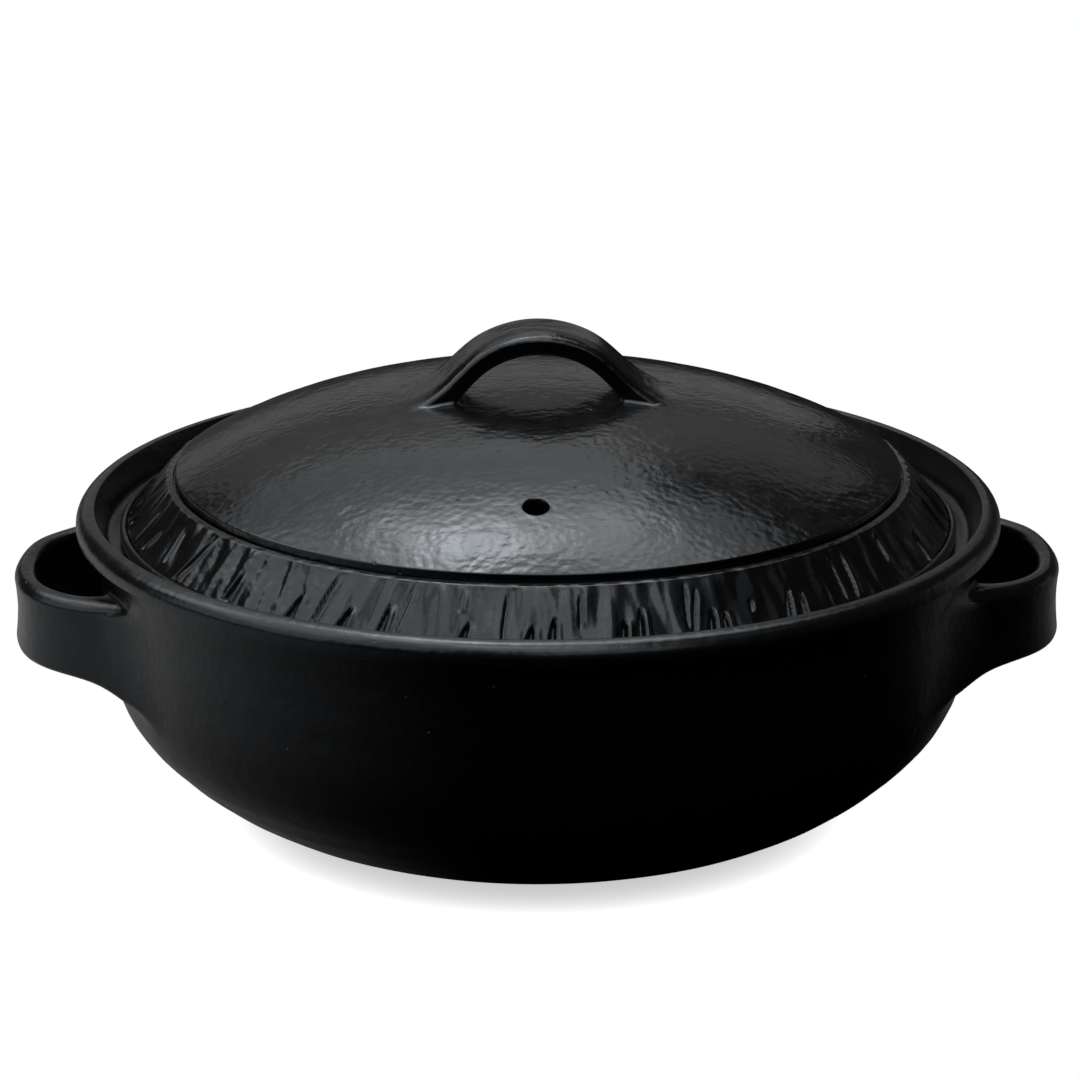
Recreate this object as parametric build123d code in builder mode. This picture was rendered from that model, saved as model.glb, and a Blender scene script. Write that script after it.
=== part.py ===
from build123d import *
import os
from math import atan2, cos, degrees, hypot, radians, sin, tan

# Donabe: a wide clay pot with a sunken lid, two strap ears and an arched lid handle.
# Millimetres. The origin is the middle of the base, +Z is up and the ears lie along X.

# Pot: outside
pot_height = 105.0
rim_radius = 150.0
lip_width = 6.3
lip_depth = 7.0
lip_round = 3.0
lip_arris_round = 0.5
lip_undercut = 5.6
neck_drop = 2.6
shoulder_inset = 7.6
shoulder_drop = 22.0
shoulder_ease = 2.5
wall_inset = 8.9
wall_drop = 35.0
wall_lean_deg = 4.5
knee_inset = 22.5
knee_height = 29.5
knee_slope_deg = 45.0
knee_ease = 15.5
belly_inset = 38.0
belly_ease = 19.0
foot_inset = 73.5
foot_round = 1.2

# Pot: foot ring and inside
foot_ring_width = 12.0
foot_recess = 2.2
recess_round = 2.0
wall_thickness = 8.6
floor_thickness = 9.0
floor_ease = 7.6
gallery_inset = 10.4
gallery_depth = 10.0
gallery_cove = 2.6
ledge_width = 10.2
ledge_nose_round = 2.0
ledge_thickness = 8.0
ledge_heel_slope_deg = 135.0
ledge_heel_bend = 8.0
lip_inner_round = 2.4

# Lid
lid_play = 3.8
flange_height = 4.3
flange_round = 1.6
flange_bead_width = 2.6
band_foot_rise = 3.6
band_rise = 15.2
band_slope_deg = 46.0
arris_round = 0.4
groove_width = 2.4
groove_depth = 1.6
groove_round = 0.6
dome_edge_run = 3.0
dome_edge_rise = 3.2
dome_edge_round = 1.8
dome_slope_deg = 28.5
crown_reach = 57.5
crown_slope_deg = 8.5
lid_thickness = 7.2
seat_width = 6.2
steam_hole_radius = 4.2
steam_hole_inset = 27.1
steam_hole_turn_deg = -93.0

# Handles: one strap section, swept round two ears and over one arch
ear_projection = 20.2
ear_thickness = 7.2
ear_height = 26.1
ear_drop = 19.7
ear_edge_round = 2.9
ear_dish = 0.6
ear_half_span = 64.0
ear_root_depth = 26.0
finger_gap = 14.1
arch_thickness = 6.6
arch_width = 22.0
arch_edge_round = 2.2
arch_crown = 0.8
arch_bend = 36.3
arch_thinning = 0.6
arch_foot_sink = 5.0

os.makedirs("parts", exist_ok=True)


def crossing(point_a, angle_a, point_b, angle_b):
    """Where two lines meet, each given by a point and its angle in degrees."""
    ax, ay = cos(radians(angle_a)), sin(radians(angle_a))
    bx, by = cos(radians(angle_b)), sin(radians(angle_b))
    dx, dy = point_b[0] - point_a[0], point_b[1] - point_a[1]
    along = (dx * by - dy * bx) / (ax * by - ay * bx)
    return point_a[0] + along * ax, point_a[1] + along * ay


def slope(start, end):
    """The angle in degrees of the line from one point to another."""
    return degrees(atan2(end[1] - start[1], end[0] - start[0]))


def bend(before, corner, after, ease):
    """Radius of the curve that leaves both legs of a corner this far from it."""
    turn = abs(slope(corner, after) - slope(before, corner))
    return ease / tan(radians(turn / 2))


# Pot outline: the outer corners, then the inner ones parallel to them
wall_radius = rim_radius - wall_inset
wall_angle = 90 - wall_lean_deg
wall_point = (wall_radius, pot_height - wall_drop)
knee_point = (rim_radius - knee_inset, knee_height)
knee_corner = crossing(wall_point, wall_angle, knee_point, knee_slope_deg)
belly_corner = crossing(knee_point, knee_slope_deg, (rim_radius - belly_inset, 0), 90)
foot_radius = rim_radius - foot_inset
foot_point = (foot_radius, 0)
belly_slope_deg = slope(foot_point, belly_corner)
shoulder = (rim_radius - shoulder_inset, pot_height - shoulder_drop)
lip_arris_height = pot_height - lip_depth
neck = (rim_radius - lip_undercut, lip_arris_height - neck_drop)
belly_bend = bend(foot_point, belly_corner, knee_corner, belly_ease)
knee_bend = bend(belly_corner, knee_corner, shoulder, knee_ease)
shoulder_bend = bend(knee_corner, shoulder, neck, shoulder_ease)
outer_corners = [
    foot_point,
    belly_corner,
    knee_corner,
    shoulder,
    neck,
    (rim_radius - lip_undercut, lip_arris_height),
    (rim_radius, lip_arris_height),
    (rim_radius, pot_height),
]
outer_bends = [belly_bend, knee_bend, shoulder_bend, 0, neck_drop / 2, lip_arris_round, lip_round]


def inward(point, angle):
    """A point moved off the outside by the wall, square to a line at this angle."""
    return (
        point[0] - wall_thickness * sin(radians(angle)),
        point[1] + wall_thickness * cos(radians(angle)),
    )


ledge_height = pot_height - gallery_depth
gallery_radius = rim_radius - gallery_inset
ledge_radius = gallery_radius - ledge_width
inner_wall_point = inward(wall_point, wall_angle)
inner_knee = crossing(
    inner_wall_point, wall_angle, inward(knee_point, knee_slope_deg), knee_slope_deg
)
floor_height = foot_recess + floor_thickness
floor_corner = crossing(
    (0, floor_height), 0, inward(foot_point, belly_slope_deg), belly_slope_deg
)
inner_belly = crossing(
    inward(knee_point, knee_slope_deg), knee_slope_deg, floor_corner, belly_slope_deg
)
ledge_foot = (ledge_radius, ledge_height - ledge_thickness)
ledge_heel = crossing(inner_wall_point, wall_angle, ledge_foot, ledge_heel_slope_deg)
inner_corners = [
    (rim_radius - lip_width, pot_height),
    (gallery_radius, ledge_height),
    (ledge_radius, ledge_height),
    ledge_foot,
    ledge_heel,
    inner_knee,
    inner_belly,
    floor_corner,
]
inner_bends = [
    lip_inner_round,
    gallery_cove,
    ledge_nose_round,
    ledge_nose_round,
    ledge_heel_bend,
    knee_bend - wall_thickness,
    belly_bend - wall_thickness,
    bend((0, floor_height), floor_corner, inner_belly, floor_ease),
]
recess_radius = foot_radius - foot_ring_width

with BuildPart() as bowl:
    with BuildSketch(Plane.XZ):
        with BuildLine():
            FilletPolyline(
                (0, foot_recess),
                (recess_radius, foot_recess),
                (recess_radius, 0),
                *outer_corners,
                *inner_corners,
                (0, floor_height),
                radius=[recess_round, 0, foot_round, *outer_bends, *inner_bends],
            )
            Line((0, floor_height), (0, foot_recess))
        make_face()
    revolve(axis=Axis.Z)

# The pot's outside as a full block, which cuts the ears' roots to the wall
with BuildPart() as pot_block:
    with BuildSketch(Plane.XZ):
        with BuildLine():
            FilletPolyline(
                (0, 0),
                *outer_corners,
                (0, pot_height),
                radius=[foot_round, *outer_bends],
            )
            Line((0, pot_height), (0, 0))
        make_face()
    revolve(axis=Axis.Z)

# Lid outline
lid_seat = ledge_height
flange_radius = gallery_radius - lid_play
flange_top = lid_seat + flange_height
band_foot = (flange_radius - flange_bead_width, lid_seat + band_foot_rise)
band_top = (
    band_foot[0] - band_rise / tan(radians(band_slope_deg)),
    band_foot[1] + band_rise,
)
groove_floor = band_top[1] - groove_depth
groove_inner = band_top[0] - groove_width
seat_inner = flange_radius - seat_width

# The dome's two arcs, the flatter crown and the brow, stand on its straight edge
dome_slope = radians(dome_slope_deg)
crown_slope = radians(crown_slope_deg)
dome_edge = (groove_inner, band_top[1] + dome_edge_rise)
brow_end = (groove_inner - dome_edge_run, dome_edge[1] + dome_edge_run * tan(dome_slope))
brow_bend = (brow_end[0] - crown_reach) / (sin(dome_slope) - sin(crown_slope))
brow_centre = (
    brow_end[0] - brow_bend * sin(dome_slope),
    brow_end[1] - brow_bend * cos(dome_slope),
)
crown_bend = crown_reach / sin(crown_slope)
crown_centre = (0, brow_centre[1] - (crown_bend - brow_bend) * cos(crown_slope))
dome_top = crown_centre[1] + crown_bend


def on_arc(centre, radius, lean):
    """The point of an arc where its surface leans outwards by this angle in radians."""
    return centre[0] + radius * sin(lean), centre[1] + radius * cos(lean)


def dome_points(drop):
    """Five points of the dome's two arcs, from the axis to the edge, a thickness below."""
    return [
        on_arc(crown_centre, crown_bend - drop, 0),
        on_arc(crown_centre, crown_bend - drop, crown_slope / 2),
        on_arc(crown_centre, crown_bend - drop, crown_slope),
        on_arc(brow_centre, brow_bend - drop, (crown_slope + dome_slope) / 2),
        on_arc(brow_centre, brow_bend - drop, dome_slope),
    ]


outer_dome = dome_points(0)
inner_dome = dome_points(lid_thickness)

with BuildPart() as lid:
    with BuildSketch(Plane.XZ):
        with BuildLine():
            ThreePointArc(*outer_dome[:3])
            ThreePointArc(*outer_dome[2:])
            FilletPolyline(
                outer_dome[-1],
                dome_edge,
                (groove_inner, groove_floor),
                (band_top[0], groove_floor),
                band_top,
                band_foot,
                (band_foot[0], flange_top),
                (flange_radius, flange_top),
                (flange_radius, lid_seat),
                (seat_inner, lid_seat),
                inner_dome[-1],
                radius=[
                    dome_edge_round,
                    groove_round,
                    groove_round,
                    arris_round,
                    0,
                    0,
                    flange_round,
                    flange_round,
                    0,
                ],
            )
            ThreePointArc(*inner_dome[:3])
            ThreePointArc(*inner_dome[2:])
            Line(inner_dome[0], outer_dome[0])
        make_face()
    revolve(axis=Axis.Z)
    hole_turn = radians(steam_hole_turn_deg)
    hole_reach = groove_inner - steam_hole_inset
    with Locations((hole_reach * cos(hole_turn), hole_reach * sin(hole_turn), dome_top)):
        Hole(steam_hole_radius)

# The dome as a full block, which cuts the feet of the lid's handle
with BuildPart() as dome_block:
    with BuildSketch(Plane.XZ):
        with BuildLine():
            ThreePointArc(*outer_dome[:3])
            ThreePointArc(*outer_dome[2:])
            Polyline(outer_dome[-1], (0, outer_dome[-1][1]), outer_dome[0])
        make_face()
    revolve(axis=Axis.Z)


def strap_section(plane, thickness, low, high, edge_round, bow):
    """One section of a strap in a plane whose X points out of the strap's outer face.

    The outer face is hollowed by a positive bow and crowned by a negative one.
    """
    half = thickness / 2
    corner = min(edge_round, half * strap_round_share)
    lean = corner * cos(radians(45))
    with BuildSketch(plane) as section:
        with BuildLine():
            ThreePointArc(
                (half, low + corner), (half - bow, (low + high) / 2), (half, high - corner)
            )
            for side in (1, -1):
                top = high if side > 0 else low
                for face in (1, -1):
                    turn_x = face * (half - corner)
                    turn_y = top - side * corner
                    ThreePointArc(
                        (turn_x + face * corner, turn_y),
                        (turn_x + face * lean, turn_y + side * lean),
                        (turn_x, top),
                    )
                Line((half - corner, top), (corner - half, top))
            Line((-half, low + corner), (-half, high - corner))
        make_face()
    return section.sketch


# Ear stations from the crest to the root, as shares. The reach runs from the root's depth in
# the wall to the crest, the span from the middle to the root's outer end, the turn is of a
# right angle, and rise and fall are what the root gains above and below the strap.
ear_station_shares = [
    # reach, span, turn, thickness, rise, fall
    (1.000, 0.000, 0.000, 1.00, 0.00, 0.00),
    (0.980, 0.208, 0.112, 1.01, 0.00, 0.00),
    (0.911, 0.403, 0.290, 1.02, 0.00, 0.00),
    (0.768, 0.570, 0.539, 1.06, 0.00, 0.00),
    (0.605, 0.687, 0.686, 1.16, 0.02, 0.01),
    (0.466, 0.776, 0.730, 1.60, 0.06, 0.06),
    (0.328, 0.876, 0.751, 2.36, 0.12, 0.18),
    (0.150, 1.000, 0.733, 3.41, 0.20, 0.34),
]
strap_round_share = 0.9
ear_root = wall_radius - ear_root_depth
ear_reach = rim_radius + ear_projection - ear_root
ear_foot_height = pot_height - ear_drop - ear_height


def ear_stations():
    """Outer and inner points, low and high of each station, from one root to the other."""
    half = []
    for reach, span, turn, thickness, rise, fall in ear_station_shares:
        outer = (ear_root + reach * ear_reach, span * ear_half_span)
        facing = radians(90 * turn)
        depth = thickness * ear_thickness
        inner = (outer[0] - depth * cos(facing), outer[1] - depth * sin(facing))
        low = ear_foot_height - fall * ear_height
        high = ear_foot_height + ear_height * (1 + rise)
        half.append((outer, inner, low, high))
    other = [
        ((outer[0], -outer[1]), (inner[0], -inner[1]), low, high)
        for outer, inner, low, high in half[1:]
    ]
    return [*reversed(other), *half]


ear_sections = []
for outer, inner, low, high in ear_stations():
    out = (outer[0] - inner[0], outer[1] - inner[1])
    station = Plane(
        origin=((outer[0] + inner[0]) / 2, (outer[1] + inner[1]) / 2, 0),
        x_dir=(out[0], out[1], 0),
        z_dir=(out[1], -out[0], 0),
    )
    ear_sections.append(strap_section(station, hypot(*out), low, high, ear_edge_round, ear_dish))

with BuildPart() as right_ear:
    loft(ear_sections)
    add(pot_block.part, mode=Mode.SUBTRACT)

with BuildPart() as left_ear:
    mirror(right_ear.part, about=Plane.YZ)

# Arch stations from the crown to the foot: first round the bend, then along the leg into the
# dome. Turns are of the bend's angle, legs of the leg's run, flare and tuck are what the foot
# gains outside and inside over the strap's thickness, and the width gain is over its width.
arch_leg_deg = 50.0
arch_bend_shares = [
    # turn, width gain
    (0.00, 0.00),
    (0.34, 0.00),
    (0.68, 0.03),
    (1.00, 0.10),
]
arch_foot_shares = [
    # leg, flare, tuck, width gain
    (0.33, 0.05, 0.00, 0.25),
    (0.66, 0.18, 0.05, 0.45),
    (1.00, 0.44, 0.10, 0.65),
]
arch_peak = dome_top + finger_gap + arch_thickness
arch_inner_bend = arch_bend - arch_thickness + arch_thinning


def arch_stations():
    """Outer and inner points and width of each station, from one foot to the other."""
    half = []
    leg = radians(arch_leg_deg)
    for turn, gain in arch_bend_shares:
        across, up = sin(leg * turn), cos(leg * turn)
        outer = (arch_bend * across, arch_peak - arch_bend * (1 - up))
        under = arch_peak - arch_thickness
        inner = (arch_inner_bend * across, under - arch_inner_bend * (1 - up))
        half.append((outer, inner, arch_width * (1 + gain)))
    last_outer, last_inner, _ = half[-1]
    down = (cos(leg), -sin(leg))
    away = (sin(leg), cos(leg))
    leg_run = (last_outer[1] - dome_top + arch_foot_sink) / sin(leg)
    for along, flare, tuck, gain in arch_foot_shares:
        step = along * leg_run
        outer = (
            last_outer[0] + step * down[0] + flare * arch_thickness * away[0],
            last_outer[1] + step * down[1] + flare * arch_thickness * away[1],
        )
        inner = (
            last_inner[0] + step * down[0] - tuck * arch_thickness * away[0],
            last_inner[1] + step * down[1] - tuck * arch_thickness * away[1],
        )
        half.append((outer, inner, arch_width * (1 + gain)))
    other = [
        ((-outer[0], outer[1]), (-inner[0], inner[1]), width) for outer, inner, width in half[1:]
    ]
    return [*reversed(other), *half]


arch_sections = []
for outer, inner, width in arch_stations():
    out = (outer[0] - inner[0], outer[1] - inner[1])
    station = Plane(
        origin=((outer[0] + inner[0]) / 2, 0, (outer[1] + inner[1]) / 2),
        x_dir=(out[0], 0, out[1]),
        z_dir=(-out[1], 0, out[0]),
    )
    arch_sections.append(
        strap_section(station, hypot(*out), -width / 2, width / 2, arch_edge_round, -arch_crown)
    )

with BuildPart() as lid_handle:
    loft(arch_sections)
    add(dome_block.part, mode=Mode.SUBTRACT)

pieces = {
    "bowl": bowl,
    "right_ear": right_ear,
    "left_ear": left_ear,
    "lid": lid,
    "lid_handle": lid_handle,
}
for node, piece in pieces.items():
    piece.part.label = node
    export_step(piece.part, f"parts/{node}.step")
    box = piece.part.bounding_box()
    print(node, len(piece.part.solids()), round(piece.part.volume), box.min, box.max)
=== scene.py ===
"""Donabe clay pot: the dressed model, its pale floor, its soft light and the camera."""

import logging
from dataclasses import dataclass, field
from enum import Enum
from math import atan2, ceil, cos, degrees, hypot, pi, radians, sin, tan
from random import Random

import bmesh
import bpy
import numpy as np
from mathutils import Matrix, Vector, noise
from mathutils.bvhtree import BVHTree

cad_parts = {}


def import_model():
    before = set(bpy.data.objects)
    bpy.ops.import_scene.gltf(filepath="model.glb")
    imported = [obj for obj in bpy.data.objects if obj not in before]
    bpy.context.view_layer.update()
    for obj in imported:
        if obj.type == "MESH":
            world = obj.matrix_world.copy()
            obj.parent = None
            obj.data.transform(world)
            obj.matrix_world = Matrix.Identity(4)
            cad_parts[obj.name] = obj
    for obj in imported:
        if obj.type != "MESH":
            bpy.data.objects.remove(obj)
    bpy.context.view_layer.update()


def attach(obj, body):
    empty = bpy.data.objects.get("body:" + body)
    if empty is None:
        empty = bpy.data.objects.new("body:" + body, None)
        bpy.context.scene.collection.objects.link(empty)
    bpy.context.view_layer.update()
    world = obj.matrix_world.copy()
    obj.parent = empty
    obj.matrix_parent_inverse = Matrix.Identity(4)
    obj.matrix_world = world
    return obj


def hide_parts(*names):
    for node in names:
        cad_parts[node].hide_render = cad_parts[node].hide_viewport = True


log = logging.getLogger("donabe")

Point = tuple[float, float]
MM = 0.001


class Body(Enum):
    """The two rigid bodies of the fired pot."""

    POT = "pot"
    LID = "lid"


class Slot(Enum):
    """The record's material slots."""

    POT = "pot_glaze"
    LID = "lid_glaze"


# Shared helpers


def srgb(code: str) -> tuple[float, float, float, float]:
    """Turn an sRGB hex colour into a linear one.

    Args:
        code: The colour, such as "#1a1a1c".

    Returns:
        Linear red, green, blue and an alpha of one.
    """
    parts = [int(code[i : i + 2], 16) / 255 for i in (1, 3, 5)]
    linear = [p / 12.92 if p <= 0.04045 else ((p + 0.055) / 1.055) ** 2.4 for p in parts]
    return (*linear, 1.0)


def add_node(
    tree: bpy.types.NodeTree, kind: str, inputs: dict | None = None, **settings: object
) -> bpy.types.Node:
    """Add a node with its settings and its inputs.

    Args:
        tree: The tree that gets the node.
        kind: The node's type.
        inputs: Socket name or number, with a value or another node's output to link.
        settings: The node's own properties.

    Returns:
        The node.
    """
    node = tree.nodes.new(kind)
    for name, value in settings.items():
        setattr(node, name, value)
    for key, value in (inputs or {}).items():
        if isinstance(value, bpy.types.NodeSocket):
            tree.links.new(value, node.inputs[key])
        else:
            node.inputs[key].default_value = value
    return node


def rounded(corners: list[Point], bends: list[float], run: float = 3.0) -> list[Point]:
    """Points along an outline whose corners are rounded.

    Args:
        corners: The outline's corners in millimetres.
        bends: The radius at each corner but the first and the last.
        run: The longest step along a straight stretch.

    Returns:
        The outline's points, close together on the bends.
    """
    path: list[Point] = [corners[0]]

    def straight(end: Point) -> None:
        """Step along a straight stretch, with a short step at each end.

        Args:
            end: Where the stretch ends.
        """
        start = path[-1]
        length = hypot(end[0] - start[0], end[1] - start[1])
        if length < 1e-6:
            return
        count = max(1, ceil((length - 0.6) / run))
        shares = [i / count for i in range(1, count)]
        if length > 1.6:
            shares = [0.3 / length, *(0.3 / length + s * (1 - 0.6 / length) for s in shares)]
            shares.append(1 - 0.3 / length)
        for share in [*shares, 1.0]:
            path.append(
                (start[0] + share * (end[0] - start[0]), start[1] + share * (end[1] - start[1]))
            )

    for before, corner, after, bend in zip(corners, corners[1:], corners[2:], bends):
        if bend <= 0:
            straight(corner)
            continue
        into = np.subtract(corner, before) / np.linalg.norm(np.subtract(corner, before))
        out = np.subtract(after, corner) / np.linalg.norm(np.subtract(after, corner))
        turn = atan2(into[0] * out[1] - into[1] * out[0], float(into @ out))
        cut = bend * tan(abs(turn) / 2)
        first = np.subtract(corner, into * cut)
        side = np.array([-into[1], into[0]]) * (1 if turn > 0 else -1)
        middle = first + side * bend
        straight(tuple(first))
        steps = max(4, ceil(abs(degrees(turn)) / 9), ceil(abs(turn) * bend / run))
        for i in range(1, steps + 1):
            lean = turn * i / steps
            arm = first - middle
            path.append(
                (
                    float(middle[0] + arm[0] * cos(lean) - arm[1] * sin(lean)),
                    float(middle[1] + arm[0] * sin(lean) + arm[1] * cos(lean)),
                )
            )
    straight(corners[-1])
    return path


def crossing(point_a: Point, angle_a: float, point_b: Point, angle_b: float) -> Point:
    """Where two lines meet.

    Args:
        point_a: A point of the first line.
        angle_a: The first line's angle in degrees.
        point_b: A point of the second line.
        angle_b: The second line's angle in degrees.

    Returns:
        The point where they cross.
    """
    ax, ay = cos(radians(angle_a)), sin(radians(angle_a))
    bx, by = cos(radians(angle_b)), sin(radians(angle_b))
    dx, dy = point_b[0] - point_a[0], point_b[1] - point_a[1]
    along = (dx * by - dy * bx) / (ax * by - ay * bx)
    return point_a[0] + along * ax, point_a[1] + along * ay


def slope(start: Point, end: Point) -> float:
    """The angle in degrees of the line from one point to another."""
    return degrees(atan2(end[1] - start[1], end[0] - start[0]))


def mesh_object(
    name: str, points: np.ndarray, faces: list[tuple[int, ...]], finish: bpy.types.Material
) -> bpy.types.Object:
    """Make a smooth mesh object from points in millimetres, its faces turned outwards.

    Args:
        name: The piece's name.
        points: One row for each point.
        faces: The faces' corners.
        finish: The material.

    Returns:
        The object, at the origin.
    """
    mesh = bpy.data.meshes.new(name)
    mesh.from_pydata([tuple(p) for p in (points * MM).tolist()], [], faces)
    mesh.validate()
    mesh.polygons.foreach_set("use_smooth", [True] * len(mesh.polygons))
    mesh.materials.append(finish)
    turn_outwards(mesh)
    piece = bpy.data.objects.new(name, mesh)
    bpy.context.scene.collection.objects.link(piece)
    return piece


def turn_outwards(mesh: bpy.types.Mesh) -> None:
    """Flip a closed mesh whose faces point inwards, judged by its signed volume.

    Args:
        mesh: The closed mesh.
    """
    mesh.calc_loop_triangles()
    points = np.empty(len(mesh.vertices) * 3)
    mesh.vertices.foreach_get("co", points)
    points = points.reshape(-1, 3)
    corners = np.empty(len(mesh.loop_triangles) * 3, dtype=np.int32)
    mesh.loop_triangles.foreach_get("vertices", corners)
    a, b, c = (points[corners.reshape(-1, 3)[:, i]] for i in range(3))
    if float(np.sum(a * np.cross(b, c))) < 0:
        mesh.flip_normals()


def settle(piece: bpy.types.Object, body: Body, slot: Slot, *nodes: str) -> None:
    """Put a piece on its body and let it stand for CAD nodes.

    Args:
        piece: The finished piece.
        body: The body that it moves with.
        slot: The record's finish; not used.
        nodes: The CAD nodes that it stands for.
    """
    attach(piece, body.value)
    if nodes:
        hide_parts(*nodes)
    log.info("%s: %d faces on %s", piece.name, len(piece.data.polygons), body.value)


# Finishes


@dataclass(frozen=True)
class SatinGlaze:
    """Black iron glaze on stoneware, dipped and fired to a satin.

    Iron saturates the glaze, so its own colour is almost lost and the eye sees what it
    mirrors: broad soft highlights. The glaze crawls a little as it cools, which breaks them
    into an orange peel with scattered pinholes.
    """

    name: str
    colour: str = "#070708"
    sheen: str = "#eaf3fb"
    roughness: float = 0.24
    roughness_spread: float = 0.03
    # the real peel is about 1 mm across and is drawn coarser, so that it shows in the picture
    peel_mm: float = 2.4
    peel_depth_mm: float = 0.1
    swell_mm: float = 7.0
    swell_depth_mm: float = 0.17
    pinhole_spacing_mm: float = 9.0
    pinhole_depth_mm: float = 0.25
    pinhole_floor_share: float = 0.03
    pinhole_rim_share: float = 0.075
    pinhole_rarity: float = 0.62
    clay: str = "#4a3a30"
    clay_shade: str = "#2e241e"
    clay_roughness: float = 0.9
    clay_grain_mm: float = 0.9
    glaze_line_mm: float = 0.0
    line_wave_mm: float = 14.0
    line_wave_depth_mm: float = 3.0
    line_blur_mm: float = 0.2

    def build(self) -> bpy.types.Material:
        """Make the material.

        Returns:
            The glaze.
        """
        material = bpy.data.materials.new(self.name)
        material.use_nodes = True
        tree = material.node_tree
        tree.nodes.clear()
        place = add_node(tree, "ShaderNodeTexCoord").outputs["Object"]
        # orange peel: two sizes of soft bumps that break up the highlights
        peel = add_node(
            tree,
            "ShaderNodeTexNoise",
            {"Vector": place, "Scale": 1 / (self.peel_mm * MM), "Detail": 0.6},
        )
        swell = add_node(
            tree,
            "ShaderNodeTexNoise",
            {"Vector": place, "Scale": 1 / (self.swell_mm * MM), "Detail": 0.5},
        )
        # pinholes: a few cells of a loose pattern each hold one small round dent
        cells = add_node(
            tree,
            "ShaderNodeTexVoronoi",
            {"Vector": place, "Scale": 1 / (self.pinhole_spacing_mm * MM), "Randomness": 1.0},
        )
        dent = add_node(
            tree,
            "ShaderNodeMapRange",
            {
                "Value": cells.outputs["Distance"],
                "From Min": self.pinhole_floor_share,
                "From Max": self.pinhole_rim_share,
                "To Min": 1.0,
                "To Max": 0.0,
            },
            interpolation_type="SMOOTHSTEP",
        )
        draw = add_node(tree, "ShaderNodeSeparateColor", {0: cells.outputs["Color"]})
        chosen = add_node(
            tree,
            "ShaderNodeMath",
            {0: draw.outputs[0], 1: self.pinhole_rarity},
            operation="GREATER_THAN",
        )
        pit = add_node(
            tree,
            "ShaderNodeMath",
            {0: dent.outputs[0], 1: chosen.outputs[0]},
            operation="MULTIPLY",
        )
        low = add_node(
            tree,
            "ShaderNodeBump",
            {
                "Height": swell.outputs["Fac"],
                "Distance": self.swell_depth_mm * MM,
                "Strength": 1.0,
            },
        )
        fine = add_node(
            tree,
            "ShaderNodeBump",
            {
                "Height": peel.outputs["Fac"],
                "Distance": self.peel_depth_mm * MM,
                "Strength": 1.0,
                "Normal": low.outputs[0],
            },
        )
        dented = add_node(
            tree,
            "ShaderNodeBump",
            {
                "Height": pit.outputs[0],
                "Distance": self.pinhole_depth_mm * MM,
                "Strength": 1.0,
                "Normal": fine.outputs[0],
            },
            invert=True,
        )
        satin = add_node(
            tree,
            "ShaderNodeMapRange",
            {
                "Value": swell.outputs["Fac"],
                "From Min": 0.3,
                "From Max": 0.7,
                "To Min": self.roughness - self.roughness_spread,
                "To Max": self.roughness + self.roughness_spread,
            },
        )
        shader = add_node(
            tree,
            "ShaderNodeBsdfPrincipled",
            {
                "Base Color": srgb(self.colour),
                "Roughness": satin.outputs[0],
                "IOR": 1.5,
                "Specular Tint": srgb(self.sheen),
                "Normal": dented.outputs[0],
            },
        )
        if self.glaze_line_mm > 0:
            self.bare_foot(tree, place, shader, satin.outputs[0])
        add_node(tree, "ShaderNodeOutputMaterial", {"Surface": shader.outputs[0]})
        return material

    def bare_foot(
        self,
        tree: bpy.types.NodeTree,
        place: bpy.types.NodeSocket,
        shader: bpy.types.Node,
        satin: bpy.types.NodeSocket,
    ) -> None:
        """Leave the foot below the wavy glaze line as bare, rough stoneware.

        Args:
            tree: The material's tree.
            place: Object coordinates.
            shader: The glaze's shader.
            satin: The glaze's roughness.
        """
        edge = add_node(
            tree, "ShaderNodeTexNoise", {"Vector": place, "Scale": 1 / (self.line_wave_mm * MM)}
        )
        height = add_node(tree, "ShaderNodeSeparateXYZ", {0: place}).outputs["Z"]
        wavy = add_node(
            tree,
            "ShaderNodeMath",
            {0: edge.outputs["Fac"], 1: -self.line_wave_depth_mm * MM, 2: height},
            operation="MULTIPLY_ADD",
        )
        line = self.glaze_line_mm - self.line_wave_depth_mm / 2
        glazed = add_node(
            tree,
            "ShaderNodeMapRange",
            {
                "Value": wavy.outputs[0],
                "From Min": (line - self.line_blur_mm) * MM,
                "From Max": (line + self.line_blur_mm) * MM,
            },
        ).outputs[0]
        grain = add_node(
            tree,
            "ShaderNodeTexNoise",
            {"Vector": place, "Scale": 1 / (self.clay_grain_mm * MM), "Detail": 3.0},
        )
        body = add_node(
            tree,
            "ShaderNodeMix",
            {0: grain.outputs["Fac"], 6: srgb(self.clay), 7: srgb(self.clay_shade)},
            data_type="RGBA",
        )
        colour = add_node(
            tree,
            "ShaderNodeMix",
            {0: glazed, 6: body.outputs[2], 7: srgb(self.colour)},
            data_type="RGBA",
        )
        tree.links.new(colour.outputs[2], shader.inputs["Base Color"])
        rough = add_node(
            tree,
            "ShaderNodeMix",
            {0: glazed, 2: self.clay_roughness, 3: satin},
            data_type="FLOAT",
        )
        tree.links.new(rough.outputs[0], shader.inputs["Roughness"])


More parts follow.
